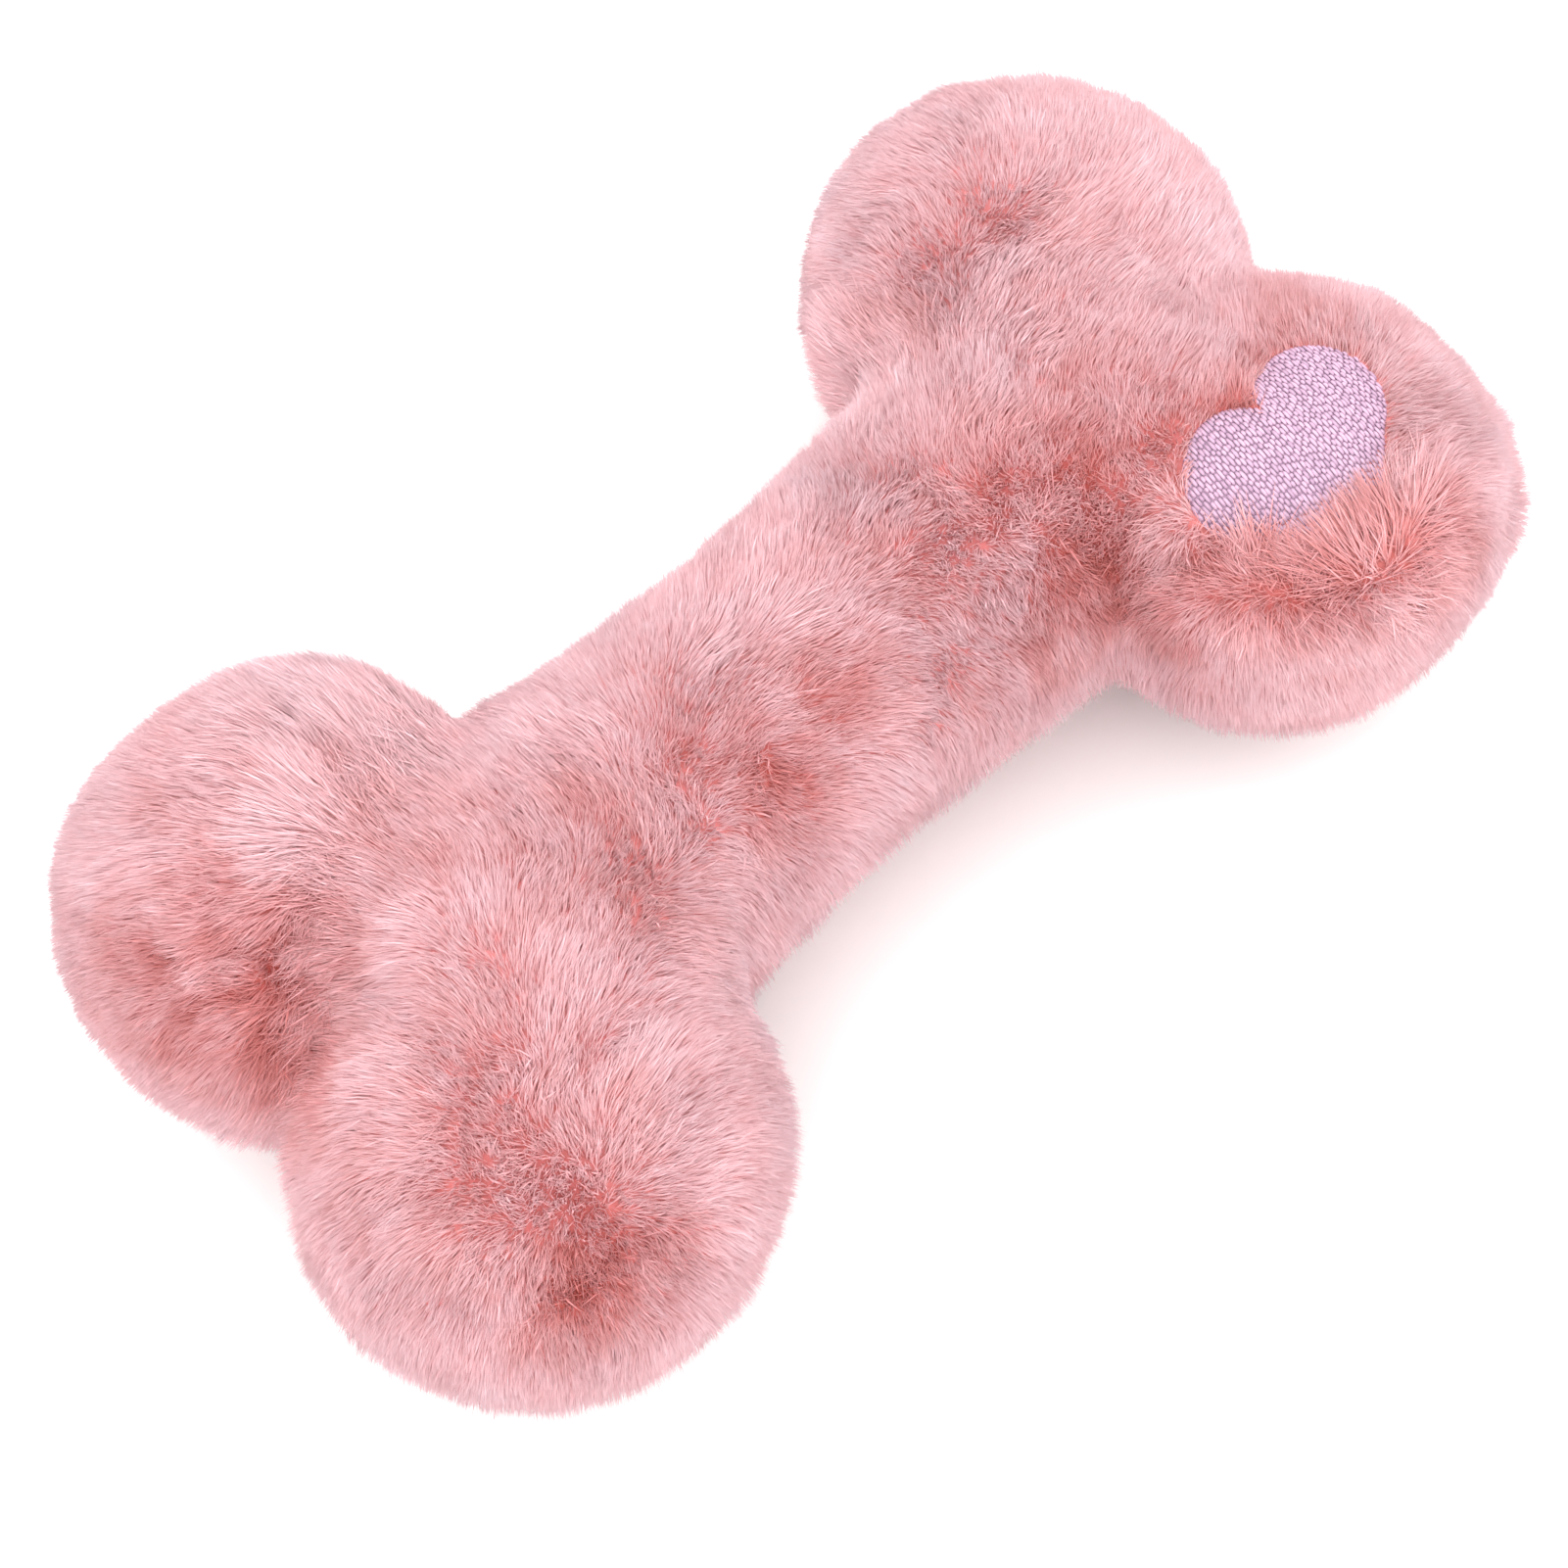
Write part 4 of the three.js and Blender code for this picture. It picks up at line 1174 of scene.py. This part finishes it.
pouch = {
    "radius": 11.2,
    "corner": 2.2,
    "halfHeight": 9.7,
    "rimGap": 0.15,
    "z": 26.15,
    "weldOut": 13.4,
    "cloth": 0.4,
    "columns": 96,
    "floorPoints": 7,
    "cornerPoints": 6,
    "wallPoints": 9,
    "weldPoints": 4,
    "gatherCount": 22,
    "gather": 0.16,
    "gatherFrom": 1.0,  # how far from the floor and the weld the gathers begin, and grow full
    "gatherOver": 2.0,
    "flattened": 0.184,
    "anchor": 0.02625,  # metres
}


def pouchLine():
    # half a cup's cut in radius and height: its floor, its round corner, its wall, its weld
    radius, corner, cloth = pouch["radius"], pouch["corner"], pouch["cloth"]
    tall = pouch["halfHeight"]
    bend = np.linspace(0, math.pi / 2, pouch["cornerPoints"])
    floor = np.linspace(0.12, 0.9, pouch["floorPoints"]) * (radius - corner)
    wall = np.linspace(corner, tall - cloth, pouch["wallPoints"] + 1)[1:]
    weld = np.linspace(radius, pouch["weldOut"], pouch["weldPoints"] + 1)[1:]
    across = [floor, radius - corner + corner * np.sin(bend), np.full(len(wall), radius), weld]
    high = [np.zeros(len(floor)), corner - corner * np.cos(bend), wall, np.full(len(weld), tall - cloth / 2)]
    return np.stack([np.concatenate(across), np.concatenate(high)], 1)


def pouchCup(level):
    # one cup as rings round the Z axis: along its outside from the floor's middle to the
    # weld, and back inside, with shallow gathers in its wall
    tall, cloth = pouch["halfHeight"], pouch["cloth"]
    line = pouchLine()
    slope = np.gradient(line, axis=0)
    slope = slope / np.linalg.norm(slope, axis=1, keepdims=True)
    out = np.stack([slope[:, 1], -slope[:, 0]], 1) * cloth / 2
    both = np.concatenate([line + out, (line - out)[::-1]])
    turn = turns(pouch["columns"])
    start = pouch["gatherFrom"]
    fromEnds = np.minimum(both[:, 1] - start, tall - start - both[:, 1])
    onWall = np.clip(fromEnds / pouch["gatherOver"], 0, 1) * (both[:, 0] > pouch["radius"] - 1)
    ripple = pouch["gather"] * np.sin(pouch["gatherCount"] * turn) * onWall[:, None]
    wide = both[:, :1] + ripple
    z = pouch["z"] + level * (tall - both[:, 1:] + pouch["rimGap"])
    far = pouch["z"] + level * (tall + pouch["rimGap"])
    first, last = (np.array([0, 0, far + side * level * cloth / 2]) for side in (1, -1))
    return closedGrid(places(wide * np.cos(turn), wide * np.sin(turn), z), first, last)


for level, name, under in ((-1, "lower", "filling_shaft_base_fibre"), (1, "upper", "pouch_cup_lower")):
    form = pouchCup(level)
    cup = newPiece(f"pouch_cup_{name}", *form, material=nonwovenMaterial)
    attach(cup, "bone")
    if level > 0:
        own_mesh(cup)
    standsFor(cup, f"squeaker_pouch_{name}")

print("squeaker")
squeaker = {
    "radius": 10.4,
    "floorZ": 16.85,
    "height": 13.6,
    "wall": 0.8,
    "pleats": 3,
    "pleatDepth": 1.7,
    "footInset": 1.4,
    "footHeight": 0.9,
    "pleatsFrom": 0.7,  # how far from the floor and the shoulder the pleats begin
    "floorRound": 0.5,
    "neckRadius": 4.4,
    "neckWall": 0.8,
    "neckTopZ": 33.85,
    "shoulderRise": 1.0,
    "shoulderPower": 1.5,
    "columns": 72,
    "pleatPoints": 64,
    "floorPoints": 7,
    "shoulderPoints": 7,
    "neckPoints": 4,
    "flattened": 0.529,
    "anchor": 0.01685,  # metres
}


def bellowsLine(inset):
    # radii and heights from the floor's middle to the neck's rim; the pleats are a wave
    low, start = squeaker["floorZ"], squeaker["pleatsFrom"]
    top = low + squeaker["height"]
    z = np.linspace(low + start, top - start, squeaker["pleatPoints"])
    phase = (z - low) / (top - low) * (squeaker["pleats"] * 2 + 1) - 0.5
    wave = squeaker["radius"] - inset - squeaker["pleatDepth"] * (0.5 - 0.5 * np.cos(math.pi * phase))
    ends = np.clip(1 - (np.minimum(z - low, top - z) - start) / squeaker["footHeight"], 0, 1)
    wave = wave - squeaker["footInset"] * ends**2
    neck = squeaker["neckRadius"] - (squeaker["neckWall"] if inset else 0)
    floor = np.linspace(0.1, 1, squeaker["floorPoints"]) * (wave[0] - squeaker["floorRound"])
    shoulder = np.linspace(0, 1, squeaker["shoulderPoints"] + 1)[1:]
    rise = top + squeaker["shoulderRise"] * shoulder ** squeaker["shoulderPower"] - inset
    tall = np.linspace(rise[-1], squeaker["neckTopZ"], squeaker["neckPoints"] + 1)[1:]
    across = [floor, wave, wave[-1] + (neck - wave[-1]) * shoulder, np.full(len(tall), neck)]
    high = [np.full(len(floor), low + inset), z, rise, tall]
    return np.stack([np.concatenate(across), np.concatenate(high)], 1)


def bellowsForm():
    # the outside's line and the inside's back, turned round the Z axis
    line = np.concatenate([bellowsLine(0), bellowsLine(squeaker["wall"])[::-1]])
    turn = turns(squeaker["columns"])
    rows = places(line[:, :1] * np.cos(turn), line[:, :1] * np.sin(turn), line[:, 1:])
    low = squeaker["floorZ"]
    return closedGrid(rows, np.array([0, 0, low]), np.array([0, 0, low + squeaker["wall"]]))


bellowsMaterial = plainFinish("bellows_plastic", (0.86, 0.87, 0.86), (0.92, 0.93, 0.92), 6.0, 0.35)
bellows = newPiece("pleated_bellows", *bellowsForm(), material=bellowsMaterial)
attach(bellows, "bone")
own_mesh(bellows)
standsFor(bellows, "squeaker_bellows")
whistleMaterial = plainFinish("whistle_plastic", (0.84, 0.85, 0.84), (0.90, 0.91, 0.90), 5.0, 0.3)
filmMaterial = plainFinish("reed_film", (0.80, 0.83, 0.85), (0.86, 0.89, 0.91), 3.0, 0.2)
for name in ("reed_sleeve", "reed_bed", "reed_wedge"):
    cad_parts[name].material_slots[0].material = whistleMaterial
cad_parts["reed_tongue"].material_slots[0].material = filmMaterial

print("floor, light and camera")
studio = {
    "floorSize": 6000.0,
    "floorColour": (0.9, 0.895, 0.89, 1),
    "overhead": 1.6,
    "horizon": 2.15,  # the white walls round the table shine more than the ceiling
    "keyPlace": (-0.15, -0.1, 1.3),
    "keySize": 1.5,
    "keyPower": 5.0,
    "aim": (0.0, 0.0, 0.02),
}
floorCorners = np.array([[-1, -1, 0], [1, -1, 0], [1, 1, 0], [-1, 1, 0]]) * studio["floorSize"] / 2
floorMaterial, _, floorSurface = newMaterial("studio_floor")
floorSurface.inputs["Base Color"].default_value = studio["floorColour"]
floorSurface.inputs["Roughness"].default_value = 0.9
floor = newPiece("studio_floor", floorCorners, np.array([[0, 1, 2, 3]]), material=floorMaterial)

world = bpy.data.worlds.new("studio")
bpy.context.scene.world = world
world.use_nodes = True
sky = world.node_tree.nodes["Background"]
sky.inputs["Color"].default_value = (1, 1, 1, 1)
aloft = world.node_tree.nodes.new("ShaderNodeTexCoord")
height = world.node_tree.nodes.new("ShaderNodeSeparateXYZ")
level = world.node_tree.nodes.new("ShaderNodeMapRange")
level.inputs["To Min"].default_value = studio["horizon"]
level.inputs["To Max"].default_value = studio["overhead"]
world.node_tree.links.new(aloft.outputs["Generated"], height.inputs[0])
world.node_tree.links.new(height.outputs["Z"], level.inputs["Value"])
world.node_tree.links.new(level.outputs["Result"], sky.inputs["Strength"])
lamp = bpy.data.lights.new("key", "AREA")
lamp.shape = "DISK"
lamp.size = studio["keySize"]
lamp.energy = studio["keyPower"]
key = bpy.data.objects.new("key", lamp)
bpy.context.collection.objects.link(key)
key.location = studio["keyPlace"]
fromAim = Vector(studio["keyPlace"]) - Vector(studio["aim"])
key.rotation_euler = fromAim.to_track_quat("Z", "Y").to_euler()
bpy.context.scene.view_settings.view_transform = "Standard"

view = {
    "azimuth": -40.68,
    "elevation": 64.65,
    "distance": 0.37168,
    "target": (-0.0073, -0.0052, 0.0205),
    "roll": -3.03,
    "lens": 70.07,
    "sensor": 36.0,
}


def photoCamera():
    # back points from the target to the camera; right and up turn by the roll about it
    a, e, r = (math.radians(view[k]) for k in ("azimuth", "elevation", "roll"))
    back = Vector((math.sin(a) * math.cos(e), -math.cos(a) * math.cos(e), math.sin(e)))
    right = Vector((math.cos(a), math.sin(a), 0))
    up = back.cross(right)
    rolledRight = right * math.cos(r) + up * math.sin(r)
    rolledUp = up * math.cos(r) - right * math.sin(r)
    data = bpy.data.cameras.new("photo_camera")
    data.lens, data.sensor_width = view["lens"], view["sensor"]
    data.clip_start, data.clip_end = 0.01, 20
    camera = bpy.data.objects.new("photo_camera", data)
    bpy.context.collection.objects.link(camera)
    turn = Matrix((rolledRight, rolledUp, back)).transposed().to_4x4()
    camera.matrix_world = Matrix.Translation(Vector(view["target"]) + back * view["distance"]) @ turn
    bpy.context.scene.camera = camera


photoCamera()
